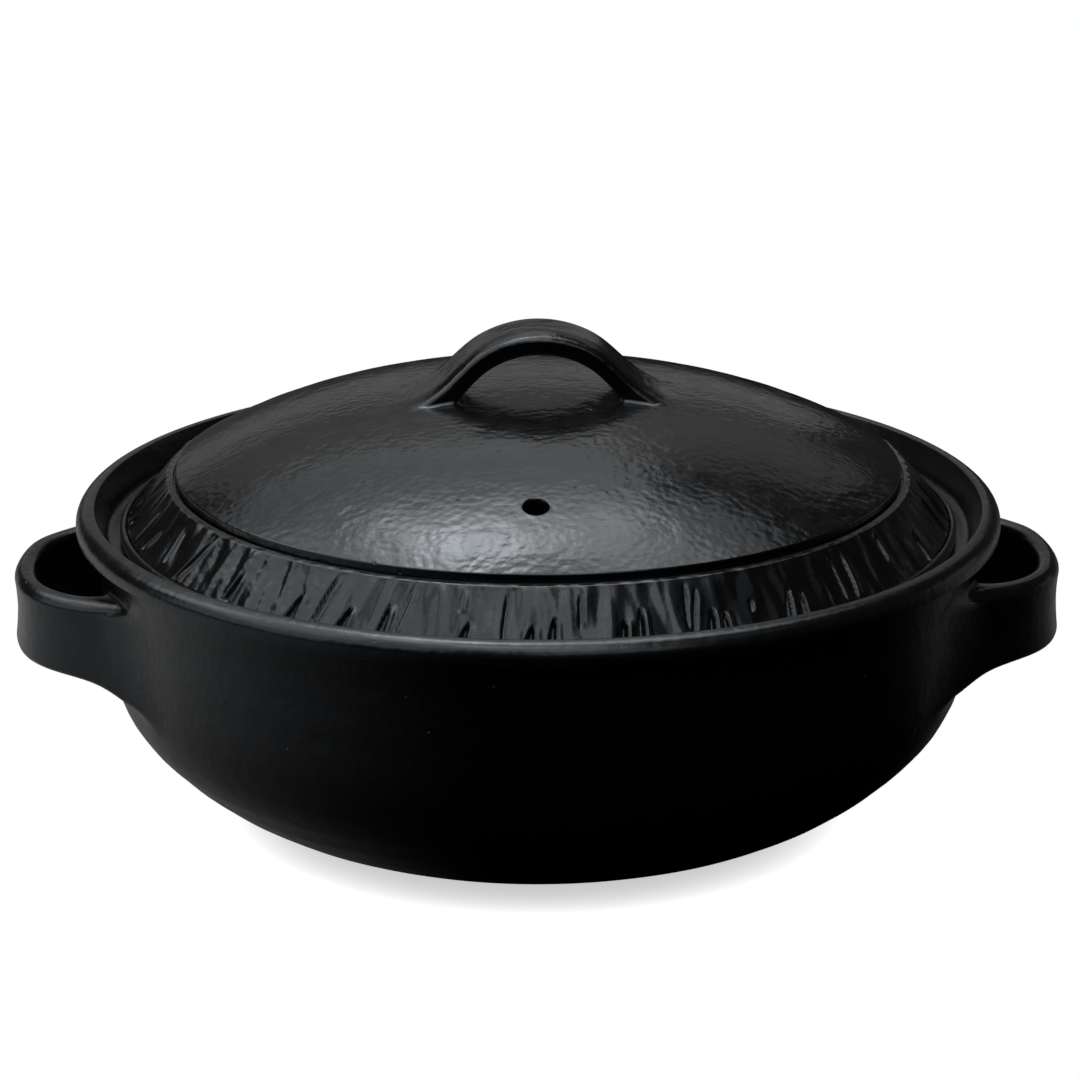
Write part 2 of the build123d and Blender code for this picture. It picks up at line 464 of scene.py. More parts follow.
@dataclass(frozen=True)
class PaleFloor:
    """White board that glows white, with a painted soft shadow where the pot stands on it.

    The glaze mirrors it as a board with painted pools of light on the left and, less, behind on
    the right, and with painted shade close to the pot, so the dark wall gets its soft grey bands.
    """

    name: str = "white_board_painted_shade_and_light"
    colour: str = "#ffffff"
    # painted light: where the board's two pools of glow lie, how far they spread and how bright
    # they are
    left_way: tuple[float, float, float] = (-0.985, 0.174, 0.0)
    left_spread: float = 2.0
    left_share: float = 0.5
    right_way: tuple[float, float, float] = (0.85, 0.53, 0.0)
    right_spread: float = 10.0
    right_share: float = 0.18
    # painted shade: the glow is dimmed close to the pot, and a soft shadow is painted under it
    shaded_radius_mm: float = 130.0
    clear_radius_mm: float = 360.0
    shaded_share: float = 0.3
    shade_reach_mm: float = 9.0
    darkest_shade: float = 0.55

    def build(self) -> bpy.types.Material:
        """Make the material.

        Returns:
            The board's white.
        """
        material = bpy.data.materials.new(self.name)
        material.use_nodes = True
        tree = material.node_tree
        tree.nodes.clear()
        path = add_node(tree, "ShaderNodeLightPath")
        # painted shadow: ambient occlusion darkens the board's glow, as the camera sees it, where
        # the pot stands close above
        shade = add_node(
            tree,
            "ShaderNodeAmbientOcclusion",
            {"Distance": self.shade_reach_mm * MM},
            samples=8,
        )
        soft = add_node(
            tree,
            "ShaderNodeMapRange",
            {"Value": shade.outputs["AO"], "To Min": self.darkest_shade},
        )
        seen = add_node(
            tree,
            "ShaderNodeMath",
            {0: soft.outputs[0], 1: path.outputs["Is Camera Ray"]},
            operation="MULTIPLY",
        )
        mirrored = add_node(
            tree,
            "ShaderNodeMath",
            {0: path.outputs["Is Glossy Ray"], 1: path.outputs["Is Transmission Ray"]},
            operation="MAXIMUM",
        )
        # painted light: two soft pools of glow on the board, seen only in the glaze's reflections
        place = add_node(tree, "ShaderNodeTexCoord").outputs["Object"]
        way = add_node(tree, "ShaderNodeVectorMath", {0: place}, operation="NORMALIZE").outputs[0]
        share = None
        for towards, power, amount in (
            (self.left_way, self.left_spread, self.left_share),
            (self.right_way, self.right_spread, self.right_share),
        ):
            facing = add_node(
                tree, "ShaderNodeVectorMath", {0: way, 1: towards}, operation="DOT_PRODUCT"
            ).outputs["Value"]
            ahead = add_node(
                tree, "ShaderNodeMath", {0: facing, 1: 0.0}, operation="MAXIMUM"
            ).outputs[0]
            fall = add_node(
                tree, "ShaderNodeMath", {0: ahead, 1: power}, operation="POWER"
            ).outputs[0]
            share = add_node(
                tree,
                "ShaderNodeMath",
                {0: fall, 1: amount, 2: share.outputs[0] if share else 0.0},
                operation="MULTIPLY_ADD",
            )
        # painted shade: close to the pot the board's glow in the reflections is dimmed
        length = add_node(
            tree, "ShaderNodeVectorMath", {0: place}, operation="LENGTH"
        ).outputs["Value"]
        clear = add_node(
            tree,
            "ShaderNodeMapRange",
            {
                "Value": length,
                "From Min": self.shaded_radius_mm * MM,
                "From Max": self.clear_radius_mm * MM,
                "To Min": self.shaded_share,
            },
        )
        painted_light_and_shade = add_node(
            tree,
            "ShaderNodeMath",
            {0: share.outputs[0], 1: clear.outputs[0]},
            operation="MULTIPLY",
        )
        # the board's glow: the painted shadow for the camera, the painted pools of light and shade
        # for reflections
        strength = add_node(
            tree,
            "ShaderNodeMath",
            {0: mirrored.outputs[0], 1: painted_light_and_shade.outputs[0], 2: seen.outputs[0]},
            operation="MULTIPLY_ADD",
        )
        glow = add_node(
            tree,
            "ShaderNodeEmission",
            {"Color": srgb(self.colour), "Strength": strength.outputs[0]},
        )
        add_node(tree, "ShaderNodeOutputMaterial", {"Surface": glow.outputs[0]})
        return material


# Lathe: a Geometry Nodes tree that turns an outline round the axis


def lathe_tree() -> bpy.types.NodeTree:
    """Build the tree that turns an outline into a thrown piece.

    The outline's points carry how far along they lie, which way is out, and their share of
    throwing rings and of bark. Every offset repeats after a whole turn, so no seam shows.

    Returns:
        The Geometry Nodes tree.
    """
    # the bark's cells: round the band, and down its slope in cells to the metre
    cells_around, cells_down = 27.0, 60.0
    pole_reach, weld = 12 * MM, 0.005 * MM
    tree = bpy.data.node_groups.new("thrown_piece", "GeometryNodeTree")
    face = tree.interface
    face.new_socket("Outline", in_out="INPUT", socket_type="NodeSocketGeometry")
    face.new_socket("Around", in_out="INPUT", socket_type="NodeSocketInt")
    for name in ("Wobble", "Ring Depth", "Ring Pitch", "Bark Depth", "Seed"):
        face.new_socket(name, in_out="INPUT", socket_type="NodeSocketFloat")
    face.new_socket("Finish", in_out="INPUT", socket_type="NodeSocketMaterial")
    face.new_socket("Piece", in_out="OUTPUT", socket_type="NodeSocketGeometry")
    into = add_node(tree, "NodeGroupInput").outputs

    rows = add_node(
        tree, "GeometryNodeAttributeDomainSize", {0: into["Outline"]}, component="MESH"
    ).outputs["Point Count"]
    columns = add_node(
        tree, "FunctionNodeIntegerMath", {0: into["Around"], 1: 1}, operation="ADD"
    ).outputs[0]
    grid = add_node(tree, "GeometryNodeMeshGrid", {"Vertices X": columns, "Vertices Y": rows})
    index = add_node(tree, "GeometryNodeInputIndex").outputs[0]
    row = add_node(
        tree, "FunctionNodeIntegerMath", {0: index, 1: rows}, operation="MODULO"
    ).outputs[0]
    column = add_node(
        tree, "FunctionNodeIntegerMath", {0: index, 1: rows}, operation="DIVIDE_FLOOR"
    ).outputs[0]
    turn = add_node(
        tree, "ShaderNodeMath", {0: column, 1: into["Around"]}, operation="DIVIDE"
    ).outputs[0]
    angle = add_node(tree, "ShaderNodeMath", {0: turn, 1: 2 * pi}, operation="MULTIPLY").outputs[0]
    across = add_node(tree, "ShaderNodeMath", {0: angle}, operation="COSINE").outputs[0]
    beside = add_node(tree, "ShaderNodeMath", {0: angle}, operation="SINE").outputs[0]

    outline_place = add_node(
        tree,
        "GeometryNodeSampleIndex",
        {
            "Geometry": into["Outline"],
            "Value": add_node(tree, "GeometryNodeInputPosition").outputs[0],
            "Index": row,
        },
        data_type="FLOAT_VECTOR",
    ).outputs[0]
    carried = {}
    for name, kind in (
        ("out", "FLOAT_VECTOR"),
        ("along", "FLOAT"),
        ("ring", "FLOAT"),
        ("bark", "FLOAT"),
    ):
        value = add_node(
            tree, "GeometryNodeInputNamedAttribute", {"Name": name}, data_type=kind
        ).outputs[0]
        carried[name] = add_node(
            tree,
            "GeometryNodeSampleIndex",
            {"Geometry": into["Outline"], "Value": value, "Index": row},
            data_type=kind,
        ).outputs[0]
    place = add_node(tree, "ShaderNodeSeparateXYZ", {0: outline_place}).outputs
    out = add_node(tree, "ShaderNodeSeparateXYZ", {0: carried["out"]}).outputs

    # wobble: slow swells round the piece, always inwards
    slow = add_node(
        tree, "ShaderNodeCombineXYZ", {0: across, 1: beside, 2: carried["along"]}
    ).outputs[0]
    swell = add_node(
        tree,
        "ShaderNodeTexNoise",
        {"Vector": slow, "W": into["Seed"], "Scale": 1.6, "Detail": 1.0},
        noise_dimensions="4D",
    ).outputs["Fac"]
    wobble = add_node(
        tree, "ShaderNodeMath", {0: swell, 1: into["Wobble"]}, operation="MULTIPLY"
    ).outputs[0]

    # throwing rings: one shallow spiral groove
    pitches = add_node(
        tree, "ShaderNodeMath", {0: carried["along"], 1: into["Ring Pitch"]}, operation="DIVIDE"
    ).outputs[0]
    spiral = add_node(tree, "ShaderNodeMath", {0: pitches, 1: turn}, operation="ADD").outputs[0]
    phase = add_node(
        tree, "ShaderNodeMath", {0: spiral, 1: 2 * pi}, operation="MULTIPLY"
    ).outputs[0]
    wave = add_node(tree, "ShaderNodeMath", {0: phase}, operation="SINE").outputs[0]
    uneven = add_node(tree, "ShaderNodeMath", {0: wave, 1: swell}, operation="MULTIPLY").outputs[0]
    ring_depth = add_node(
        tree, "ShaderNodeMath", {0: carried["ring"], 1: into["Ring Depth"]}, operation="MULTIPLY"
    ).outputs[0]
    rings = add_node(
        tree, "ShaderNodeMath", {0: uneven, 1: ring_depth}, operation="MULTIPLY"
    ).outputs[0]

    # bark: noise drawn out down the slope, so it reads as torn clay
    torn_parts = {
        axis: add_node(
            tree, "ShaderNodeMath", {0: value, 1: cells}, operation="MULTIPLY"
        ).outputs[0]
        for axis, (value, cells) in enumerate(
            ((across, cells_around), (beside, cells_around), (carried["along"], cells_down))
        )
    }
    torn = add_node(tree, "ShaderNodeCombineXYZ", torn_parts).outputs[0]
    grain = add_node(
        tree,
        "ShaderNodeTexNoise",
        {"Vector": torn, "W": into["Seed"], "Scale": 1.0, "Detail": 0.4, "Roughness": 0.4},
        noise_dimensions="4D",
    ).outputs["Fac"]
    centred = add_node(tree, "ShaderNodeMath", {0: grain, 1: 0.5}, operation="SUBTRACT").outputs[0]
    bark_depth = add_node(
        tree, "ShaderNodeMath", {0: carried["bark"], 1: into["Bark Depth"]}, operation="MULTIPLY"
    ).outputs[0]
    bark = add_node(
        tree, "ShaderNodeMath", {0: centred, 1: bark_depth}, operation="MULTIPLY"
    ).outputs[0]

    lift = add_node(tree, "ShaderNodeMath", {0: rings, 1: bark}, operation="ADD").outputs[0]
    moved = add_node(tree, "ShaderNodeMath", {0: lift, 1: wobble}, operation="SUBTRACT").outputs[0]
    # nothing moves on the axis, so the poles stay closed
    near_axis = add_node(
        tree, "ShaderNodeMapRange", {"Value": place[0], "From Max": pole_reach}
    ).outputs[0]
    offset = add_node(
        tree, "ShaderNodeMath", {0: moved, 1: near_axis}, operation="MULTIPLY"
    ).outputs[0]
    radius = add_node(
        tree, "ShaderNodeMath", {0: out[0], 1: offset, 2: place[0]}, operation="MULTIPLY_ADD"
    ).outputs[0]
    height = add_node(
        tree, "ShaderNodeMath", {0: out[2], 1: offset, 2: place[2]}, operation="MULTIPLY_ADD"
    ).outputs[0]
    turned_parts = {
        axis: add_node(
            tree, "ShaderNodeMath", {0: radius, 1: share}, operation="MULTIPLY"
        ).outputs[0]
        for axis, share in enumerate((across, beside))
    }
    turned = add_node(tree, "ShaderNodeCombineXYZ", {**turned_parts, 2: height}).outputs[0]
    shaped = add_node(
        tree, "GeometryNodeSetPosition", {"Geometry": grid.outputs[0], "Position": turned}
    )
    closed = add_node(
        tree, "GeometryNodeMergeByDistance", {"Geometry": shaped.outputs[0], "Distance": weld}
    )
    soft = add_node(tree, "GeometryNodeSetShadeSmooth", {"Geometry": closed.outputs[0]})
    real = add_node(tree, "GeometryNodeRealizeInstances", {"Geometry": soft.outputs[0]})
    dressed = add_node(
        tree,
        "GeometryNodeSetMaterial",
        {"Geometry": real.outputs[0], "Material": into["Finish"]},
    )
    add_node(tree, "NodeGroupOutput", {0: dressed.outputs[0]})
    return tree


@dataclass
class Lathe:
    """The potter's wheel: turns outlines into closed meshes."""

    around: int = 600
    wobble_mm: float = 0.25
    ring_depth_mm: float = 0.0
    ring_pitch_mm: float = 9.0
    bark_depth_mm: float = 0.0
    seed: float = 3.0

    def turn(
        self,
        name: str,
        outline: list[Point],
        finish: bpy.types.Material,
        ring: list[float] | None = None,
        bark: list[float] | None = None,
    ) -> bpy.types.Object:
        """Turn an outline into a piece.

        Args:
            name: The piece's name.
            outline: Radius and height of each point in millimetres.
            finish: The material.
            ring: Each point's share of the throwing rings.
            bark: Each point's share of the bark.

        Returns:
            The piece as a plain mesh.
        """
        points = np.array(outline)
        count = len(points)
        mesh = bpy.data.meshes.new(name + "_outline")
        mesh.from_pydata(
            [(r * MM, 0.0, z * MM) for r, z in outline], [(i, i + 1) for i in range(count - 1)], []
        )
        steps = np.hypot(*np.diff(points, axis=0).T)
        along = np.concatenate([[0], np.cumsum(steps)]) * MM
        lean = np.gradient(points, axis=0)
        lean /= np.maximum(np.hypot(lean[:, 0], lean[:, 1]), 1e-9)[:, None]
        area = np.sum(points[:-1, 0] * points[1:, 1] - points[1:, 0] * points[:-1, 1])
        side = 1.0 if area > 0 else -1.0
        out = np.column_stack([lean[:, 1] * side, np.zeros(count), -lean[:, 0] * side])
        layers = {
            "along": along,
            "ring": np.zeros(count) if ring is None else np.array(ring),
            "bark": np.zeros(count) if bark is None else np.array(bark),
        }
        for key, values in layers.items():
            layer = mesh.attributes.new(key, "FLOAT", "POINT")
            layer.data.foreach_set("value", values.astype(np.float32))
        layer = mesh.attributes.new("out", "FLOAT_VECTOR", "POINT")
        layer.data.foreach_set("vector", out.astype(np.float32).ravel())
        blank = bpy.data.objects.new(name + "_blank", mesh)
        bpy.context.scene.collection.objects.link(blank)
        wheel = blank.modifiers.new("wheel", "NODES")
        wheel.node_group = bpy.data.node_groups.get("thrown_piece") or lathe_tree()
        values = {
            "Around": self.around,
            "Wobble": self.wobble_mm * MM,
            "Ring Depth": self.ring_depth_mm * MM,
            "Ring Pitch": self.ring_pitch_mm * MM,
            "Bark Depth": self.bark_depth_mm * MM,
            "Seed": self.seed,
            "Finish": finish,
        }
        for item in wheel.node_group.interface.items_tree:
            if item.in_out == "INPUT" and item.name in values:
                wheel[item.identifier] = values[item.name]
        graph = bpy.context.evaluated_depsgraph_get()
        turned = bpy.data.meshes.new_from_object(blank.evaluated_get(graph))
        blank.modifiers.remove(wheel)
        bpy.data.objects.remove(blank)
        turned.name = name
        turned.materials.clear()
        turned.materials.append(finish)
        turned.polygons.foreach_set("material_index", [0] * len(turned.polygons))
        for key in ("along", "ring", "bark", "out", "UVMap"):
            if key in turned.attributes:
                turned.attributes.remove(turned.attributes[key])
        turn_outwards(turned)
        piece = bpy.data.objects.new(name, turned)
        bpy.context.scene.collection.objects.link(piece)
        return piece


# Ground: a fired surface that a strap's root is smoothed on to


class Ground:
    """A thrown piece's surface, with coordinates along it and a height above it."""

    def __init__(self, piece: bpy.types.Object) -> None:
        """Keep the piece's mesh for looking up its surface.

        Args:
            piece: The thrown piece.
        """
        mesh = piece.data
        mesh.calc_loop_triangles()
        points = [v.co / MM for v in mesh.vertices]
        triangles = [tuple(t.vertices) for t in mesh.loop_triangles]
        self.tree = BVHTree.FromPolygons(points, triangles)

    def local(self, point: np.ndarray) -> np.ndarray:
        """A point's two coordinates along the surface and its height above it."""
        raise NotImplementedError

    def world(self, local: np.ndarray) -> np.ndarray:
        """The point at two coordinates along the surface and a height above it."""
        raise NotImplementedError

    def keep(self, local: np.ndarray) -> np.ndarray:
        """The same place, moved back on to the stretch where a root may lie."""
        return local


class WallGround(Ground):
    """The pot's wall: arc length round it, height, and distance out from it."""

    arc_radius: float = 141.0
    outside: float = 260.0

    def radius(self, angle: float, height: float) -> float:
        """The wall's radius at an angle and a height.

        Args:
            angle: The angle round the pot in radians.
            height: The height in millimetres.

        Returns:
            The radius in millimetres.
        """
        far = Vector((cos(angle), sin(angle), 0)) * self.outside
        hit = self.tree.ray_cast(far + Vector((0, 0, height)), -far.normalized())[0]
        return hypot(hit.x, hit.y)

    def local(self, point: np.ndarray) -> np.ndarray:
        """Arc length, height and distance out from the wall.

        Args:
            point: A point in space.

        Returns:
            Its three coordinates on the wall.
        """
        angle = atan2(point[1], point[0])
        out = hypot(point[0], point[1]) - self.radius(angle, point[2])
        return np.array([angle * self.arc_radius, point[2], out])

    def world(self, local: np.ndarray) -> np.ndarray:
        """The point at an arc length, a height and a distance out.

        Args:
            local: The three coordinates on the wall.

        Returns:
            The point in space.
        """
        angle = local[0] / self.arc_radius
        radius = self.radius(angle, local[1]) + local[2]
        return np.array([radius * cos(angle), radius * sin(angle), local[1]])


class DomeGround(Ground):
    """The lid's dome: plan coordinates and height above it."""

    overhead: float = 300.0

    def height(self, x: float, y: float) -> float:
        """The dome's height at a place in plan."""
        return self.tree.ray_cast(Vector((x, y, self.overhead)), Vector((0, 0, -1)))[0].z

    def local(self, point: np.ndarray) -> np.ndarray:
        """Plan coordinates and height above the dome."""
        return np.array([point[0], point[1], point[2] - self.height(point[0], point[1])])

    def world(self, local: np.ndarray) -> np.ndarray:
        """The point at a place in plan and a height above the dome."""
        return np.array([local[0], local[1], self.height(local[0], local[1]) + local[2]])


def spline(knots: np.ndarray, values: np.ndarray, at: np.ndarray) -> np.ndarray:
    """A smooth curve through points.

    Args:
        knots: The parameter of each point.
        values: The points, one a row.
        at: Where the curve is wanted.

    Returns:
        The curve's points.
    """
    count = len(knots)
    step = np.diff(knots)
    system = np.zeros((count, count))
    right = np.zeros((count, values.shape[1]))
    system[0, 0] = system[-1, -1] = 1
    for i in range(1, count - 1):
        system[i, i - 1 : i + 2] = step[i - 1], 2 * (step[i - 1] + step[i]), step[i]
        rise = (values[i + 1] - values[i]) / step[i] - (values[i] - values[i - 1]) / step[i - 1]
        right[i] = 6 * rise
    curl = np.linalg.solve(system, right)
    place = np.clip(np.searchsorted(knots, at) - 1, 0, count - 2)
    left, span = knots[place], step[place][:, None]
    a = ((knots[place + 1] - at)[:, None]) / span
    b = ((at - left)[:, None]) / span
    bent = ((a**3 - a) * curl[place] + (b**3 - b) * curl[place + 1]) * span**2 / 6
    return a * values[place] + b * values[place + 1] + bent


@dataclass
class Strap:
    """A pulled clay strap whose two roots are smoothed on to a thrown piece."""

    edge_round: float
    bow: float
    crown: float = 0.0
    crown_power: float = 3.5
    slump: float = 0.0
    slump_power: float = 3.0
    corner_steps: int = 8
    edge_points: int = 3
    face_points: int = 9
    samples: int = 560
    rows: int = 46
    root_rows: int = 14
    toe_height: float = 0.02
    # the skirt leaves along the surface before it dips under it, so no crease shows
    skirt: tuple[Point, ...] = ((0.7, -0.03), (1.3, -0.14), (1.6, -0.7))
    dent_mm: float = 0.3
    dent_size_mm: float = 17.0
    fillets: dict[str, float] = field(default_factory=dict)

    def section(self, thickness: float, low: float, high: float) -> list[Point]:
        """One closed section, x out of the outer face.

        Args:
            thickness: The strap's thickness.
            low: The lower edge.
            high: The upper edge.

        Returns:
            The section's points, the same number whatever the sizes.
        """
        half = thickness / 2
        corner = min(self.edge_round, half * 0.9)
        points: list[Point] = []
        middles = (
            (half - corner, high - corner, 90),
            (corner - half, high - corner, 180),
            (corner - half, low + corner, 270),
            (half - corner, low + corner, 360),
        )
        for cx, cy, end in middles:
            for i in range(self.corner_steps + 1):
                lean = radians(end - 90 + 90 * i / self.corner_steps)
                points.append((cx + corner * cos(lean), cy + corner * sin(lean)))
            ahead = {
                90: (corner - half, high),
                180: (-half, low + corner),
                270: (half - corner, low),
                360: (half, high - corner),
            }[end]
            here = points[-1]
            inner = self.edge_points if end in (90, 270) else self.face_points
            for i in range(1, inner + 1):
                share = i / (inner + 1)
                x = here[0] + share * (ahead[0] - here[0])
                y = here[1] + share * (ahead[1] - here[1])
                if end == 360:
                    x -= self.bow * 4 * share * (1 - share)
                points.append((x, y))
        # crown: the outer face falls off towards its lower or front edge; slump: the upper
        # edge is rolled over outwards
        centre, reach = (low + high) / 2, (high - low) / 2
        shaped = []
        for x, y in points:
            below, above = max(centre - y, 0) / reach, max(y - centre, 0) / reach
            down = self.crown * (x + half) / thickness * below**self.crown_power
            roll = self.slump * (max(x, 0) / half) ** 2 * above**self.slump_power
            shaped.append((x - down, y - roll))
        return shaped

    def sweep(
        self,
        name: str,
        half: list[np.ndarray],
        ground: Ground,
        finish: bpy.types.Material,
        mirror: np.ndarray,
    ) -> bpy.types.Object:
        """Sweep the sections and smooth both roots on to the ground.

        Args:
            name: The piece's name.
            half: Section loops from the crest to one root.
            ground: What the roots stand on.
            finish: The material.
            mirror: Signs that turn one half into the other.

        Returns:
            The strap.
        """
        loops = [loop * mirror for loop in reversed(half[1:])] + half
        stack = np.array(loops)
        middles = stack.mean(axis=1)
        knots = np.concatenate([[0], np.cumsum(np.linalg.norm(np.diff(middles, axis=0), axis=1))])
        crest = knots[len(half) - 1]
        fine = np.linspace(0, knots[-1], self.samples + 1)
        flat = spline(knots, stack.reshape(len(loops), -1), fine).reshape(len(fine), -1, 3)
        sides = []
        for sign in (-1, 1):
            pick = fine <= crest + 1e-6 if sign < 0 else fine >= crest - 1e-6
            run = flat[pick] if sign > 0 else flat[pick][::-1]
            sides.append(self.half_rows(run, ground))
        grid = np.concatenate([sides[0][::-1], sides[1][1:]])
        self.dent(grid)
        count = grid.shape[1]
        faces: list[tuple[int, ...]] = []
        for i in range(len(grid) - 1):
            here, there = i * count, (i + 1) * count
            for j in range(count):
                k = (j + 1) % count
                faces.append((here + j, here + k, there + k, there + j))
        faces.append(tuple(range(count)))
        last = (len(grid) - 1) * count
        faces.append(tuple(last + j for j in reversed(range(count))))
        return mesh_object(name, grid.reshape(-1, 3), faces, finish)

    def half_rows(self, run: np.ndarray, ground: Ground) -> np.ndarray:
        """Rows from the crest to the skirt of one root.

        Args:
            run: Dense loops from the crest into the clay.
            ground: What the root stands on.

        Returns:
            The rows of points.
        """
        count, stride = run.shape[1], 8
        free, bottoms = [], []
        for j in range(count):
            line = run[:, j]
            heights = np.array([ground.local(p)[2] for p in line[::stride]])
            above = np.nonzero(heights > 0)[0]
            last = min((int(above[-1]) + 1) * stride, len(line) - 1)
            while last > 1 and ground.local(line[last])[2] < 0:
                last -= 1
            bottoms.append(ground.local(line[last]))
            free.append(last)
        base = np.array(bottoms)
        tangent = np.roll(base, -1, axis=0)[:, :2] - np.roll(base, 1, axis=0)[:, :2]
        tangent /= np.maximum(np.linalg.norm(tangent, axis=1), 1e-9)[:, None]
        away = np.column_stack([tangent[:, 1], -tangent[:, 0]])
        middle = base[:, :2].mean(axis=0)
        if np.sum(away * (base[:, :2] - middle)) < 0:
            away = -away
        outer_sign = np.sign(middle[0])
        rows = np.zeros((self.rows + self.root_rows + len(self.skirt) + 1, count, 3))
        for j in range(count):
            outward = away[j, 0] * outer_sign
            upward = away[j, 1]
            width = (
                self.fillets["outer"] * max(outward, 0) ** 2
                + self.fillets["inner"] * max(-outward, 0) ** 2
                + self.fillets["top"] * max(upward, 0) ** 2
                + self.fillets["bottom"] * max(-upward, 0) ** 2
            )
            line = run[: free[j] + 1, j]
            arc = np.concatenate(
                [[0], np.cumsum(np.linalg.norm(np.diff(line, axis=0), axis=1))]
            )
            stop = max(arc[-1] - width, arc[-1] * 0.5)
            at = np.linspace(0, stop, self.rows + 1)
            for axis in range(3):
                rows[: self.rows + 1, j, axis] = np.interp(at, arc, line[:, axis])
            top = ground.local(rows[self.rows, j])
            foot = np.array([base[j, 0], base[j, 1], 0.0])
            toe = ground.keep(np.array([*(foot[:2] + away[j] * width), self.toe_height]))
            for i in range(1, self.root_rows + 1):
                t = i / self.root_rows
                spot = (1 - t) ** 2 * top + 2 * t * (1 - t) * foot + t**2 * toe
                rows[self.rows + i, j] = ground.world(spot)
            for i, (further, height) in enumerate(self.skirt):
                skirt = np.array([*(toe[:2] + away[j] * further), height])
                rows[self.rows + self.root_rows + 1 + i, j] = ground.world(ground.keep(skirt))
        return rows

    def dent(self, grid: np.ndarray) -> None:
        """Press slow hand-made hollows into the strap, never outwards.

        Args:
            grid: The strap's rows of points, which are moved.
        """
        count = grid.shape[1]
        middles = grid.mean(axis=1, keepdims=True)
        for i in range(len(grid)):
            fade = min(1.0, min(i, len(grid) - 1 - i) / self.root_rows)
            for j in range(count):
                spot = Vector(grid[i, j] / self.dent_size_mm)
                depth = self.dent_mm * fade * (0.5 + 0.5 * noise.noise(spot))
                arm = grid[i, j] - middles[i, 0]
                grid[i, j] -= arm / max(float(np.linalg.norm(arm)), 1e-6) * depth


# The pot


@dataclass
class PotBody:
    """The thrown bowl, with its gallery for the lid and its turned foot."""

    height: float = 105.0
    rim_radius: float = 150.0
    lip_width: float = 6.3
    lip_depth: float = 7.0
    lip_round: float = 5.2
    lip_arris_round: float = 0.5
    lip_undercut: float = 5.6
    neck_drop: float = 2.6
    shoulder: Point = (142.4, 83.0)
    shoulder_bend: float = 40.0
    wall_point: Point = (141.1, 70.0)
    wall_lean_deg: float = 4.5
    knee_point: Point = (127.5, 29.5)
    knee_slope_deg: float = 45.0
    knee_ease: float = 15.5
    belly_inset: float = 38.0
    belly_ease: float = 19.0
    foot_radius: float = 76.5
    foot_round: float = 1.2
    foot_ring_width: float = 12.0
    foot_recess: float = 2.2
    recess_round: float = 2.0
    wall: float = 8.6
    floor: float = 9.0
    floor_bend: float = 40.0
    gallery_inset: float = 10.4
    gallery_depth: float = 10.0
    gallery_cove: float = 2.6
    ledge_width: float = 10.2
    ledge_nose_round: float = 2.0
    ledge_thickness: float = 8.0
    ledge_heel_bend: float = 8.0
    lip_inner_round: float = 0.9

    def inward(self, point: Point, angle: float) -> Point:
        """A point moved off the outside by the wall, square to a line at this angle."""
        lean = radians(angle)
        return point[0] - self.wall * sin(lean), point[1] + self.wall * cos(lean)

    def outline(self) -> list[Point]:
        """The bowl's closed outline from the axis, round the outside and back inside.

        Returns:
            Radius and height of each point.
        """
        upright = 90 - self.wall_lean_deg
        knee = crossing(self.wall_point, upright, self.knee_point, self.knee_slope_deg)
        side = (self.rim_radius - self.belly_inset, 0.0)
        belly = crossing(self.knee_point, self.knee_slope_deg, side, 90)
        foot = (self.foot_radius, 0.0)
        belly_deg = slope(foot, belly)
        arris = self.height - self.lip_depth
        neck = (self.rim_radius - self.lip_undercut, arris - self.neck_drop)
        belly_bend = self.belly_ease / tan(radians((self.knee_slope_deg - belly_deg) / 2))
        knee_turn = slope(knee, self.shoulder) - self.knee_slope_deg
        knee_bend = self.knee_ease / tan(radians(knee_turn / 2))
        gallery = self.rim_radius - self.gallery_inset
        ledge = self.height - self.gallery_depth
        nose = gallery - self.ledge_width
        inner_wall = self.inward(self.wall_point, upright)
        inner_knee_point = self.inward(self.knee_point, self.knee_slope_deg)
        floor_top = self.foot_recess + self.floor
        inner_foot = self.inward(foot, belly_deg)
        ledge_foot = (nose, ledge - self.ledge_thickness)
        corners = [
            (0.0, self.foot_recess),
            (self.foot_radius - self.foot_ring_width, self.foot_recess),
            (self.foot_radius - self.foot_ring_width, 0.0),
            foot,
            belly,
            knee,
            self.shoulder,
            neck,
            (self.rim_radius - self.lip_undercut, arris),
            (self.rim_radius, arris),
            (self.rim_radius, self.height),
            (self.rim_radius - self.lip_width, self.height),
            (gallery, ledge),
            (nose, ledge),
            ledge_foot,
            crossing(inner_wall, upright, ledge_foot, 135),
            crossing(inner_wall, upright, inner_knee_point, self.knee_slope_deg),
            crossing(inner_knee_point, self.knee_slope_deg, inner_foot, belly_deg),
            crossing((0, floor_top), 0, inner_foot, belly_deg),
            (0.0, floor_top),
        ]
        bends = [
            self.recess_round,
            0.4,
            self.foot_round,
            belly_bend,
            knee_bend,
            self.shoulder_bend,
            1.2,
            self.neck_drop / 2,
            self.lip_arris_round,
            self.lip_round,
            self.lip_inner_round,
            self.gallery_cove,
            self.ledge_nose_round,
            self.ledge_nose_round,
            self.ledge_heel_bend,
            knee_bend - self.wall,
            belly_bend - self.wall,
            self.floor_bend,
        ]
        return rounded(corners, bends)

    def build(self, finish: bpy.types.Material) -> bpy.types.Object:
        """Throw the bowl.

        Args:
            finish: The pot's glaze.

        Returns:
            The bowl.
        """
        wheel = Lathe(wobble_mm=0.3, ring_depth_mm=0.12, ring_pitch_mm=11.0, seed=3.0)
        points = self.outline()
        ring = [1.0 if 8 < z < 90 and r > 60 else 0.0 for r, z in points]
        bowl = wheel.turn("pot_bowl", points, finish, ring=ring)
        settle(bowl, Body.POT, Slot.POT, "bowl")
        return bowl


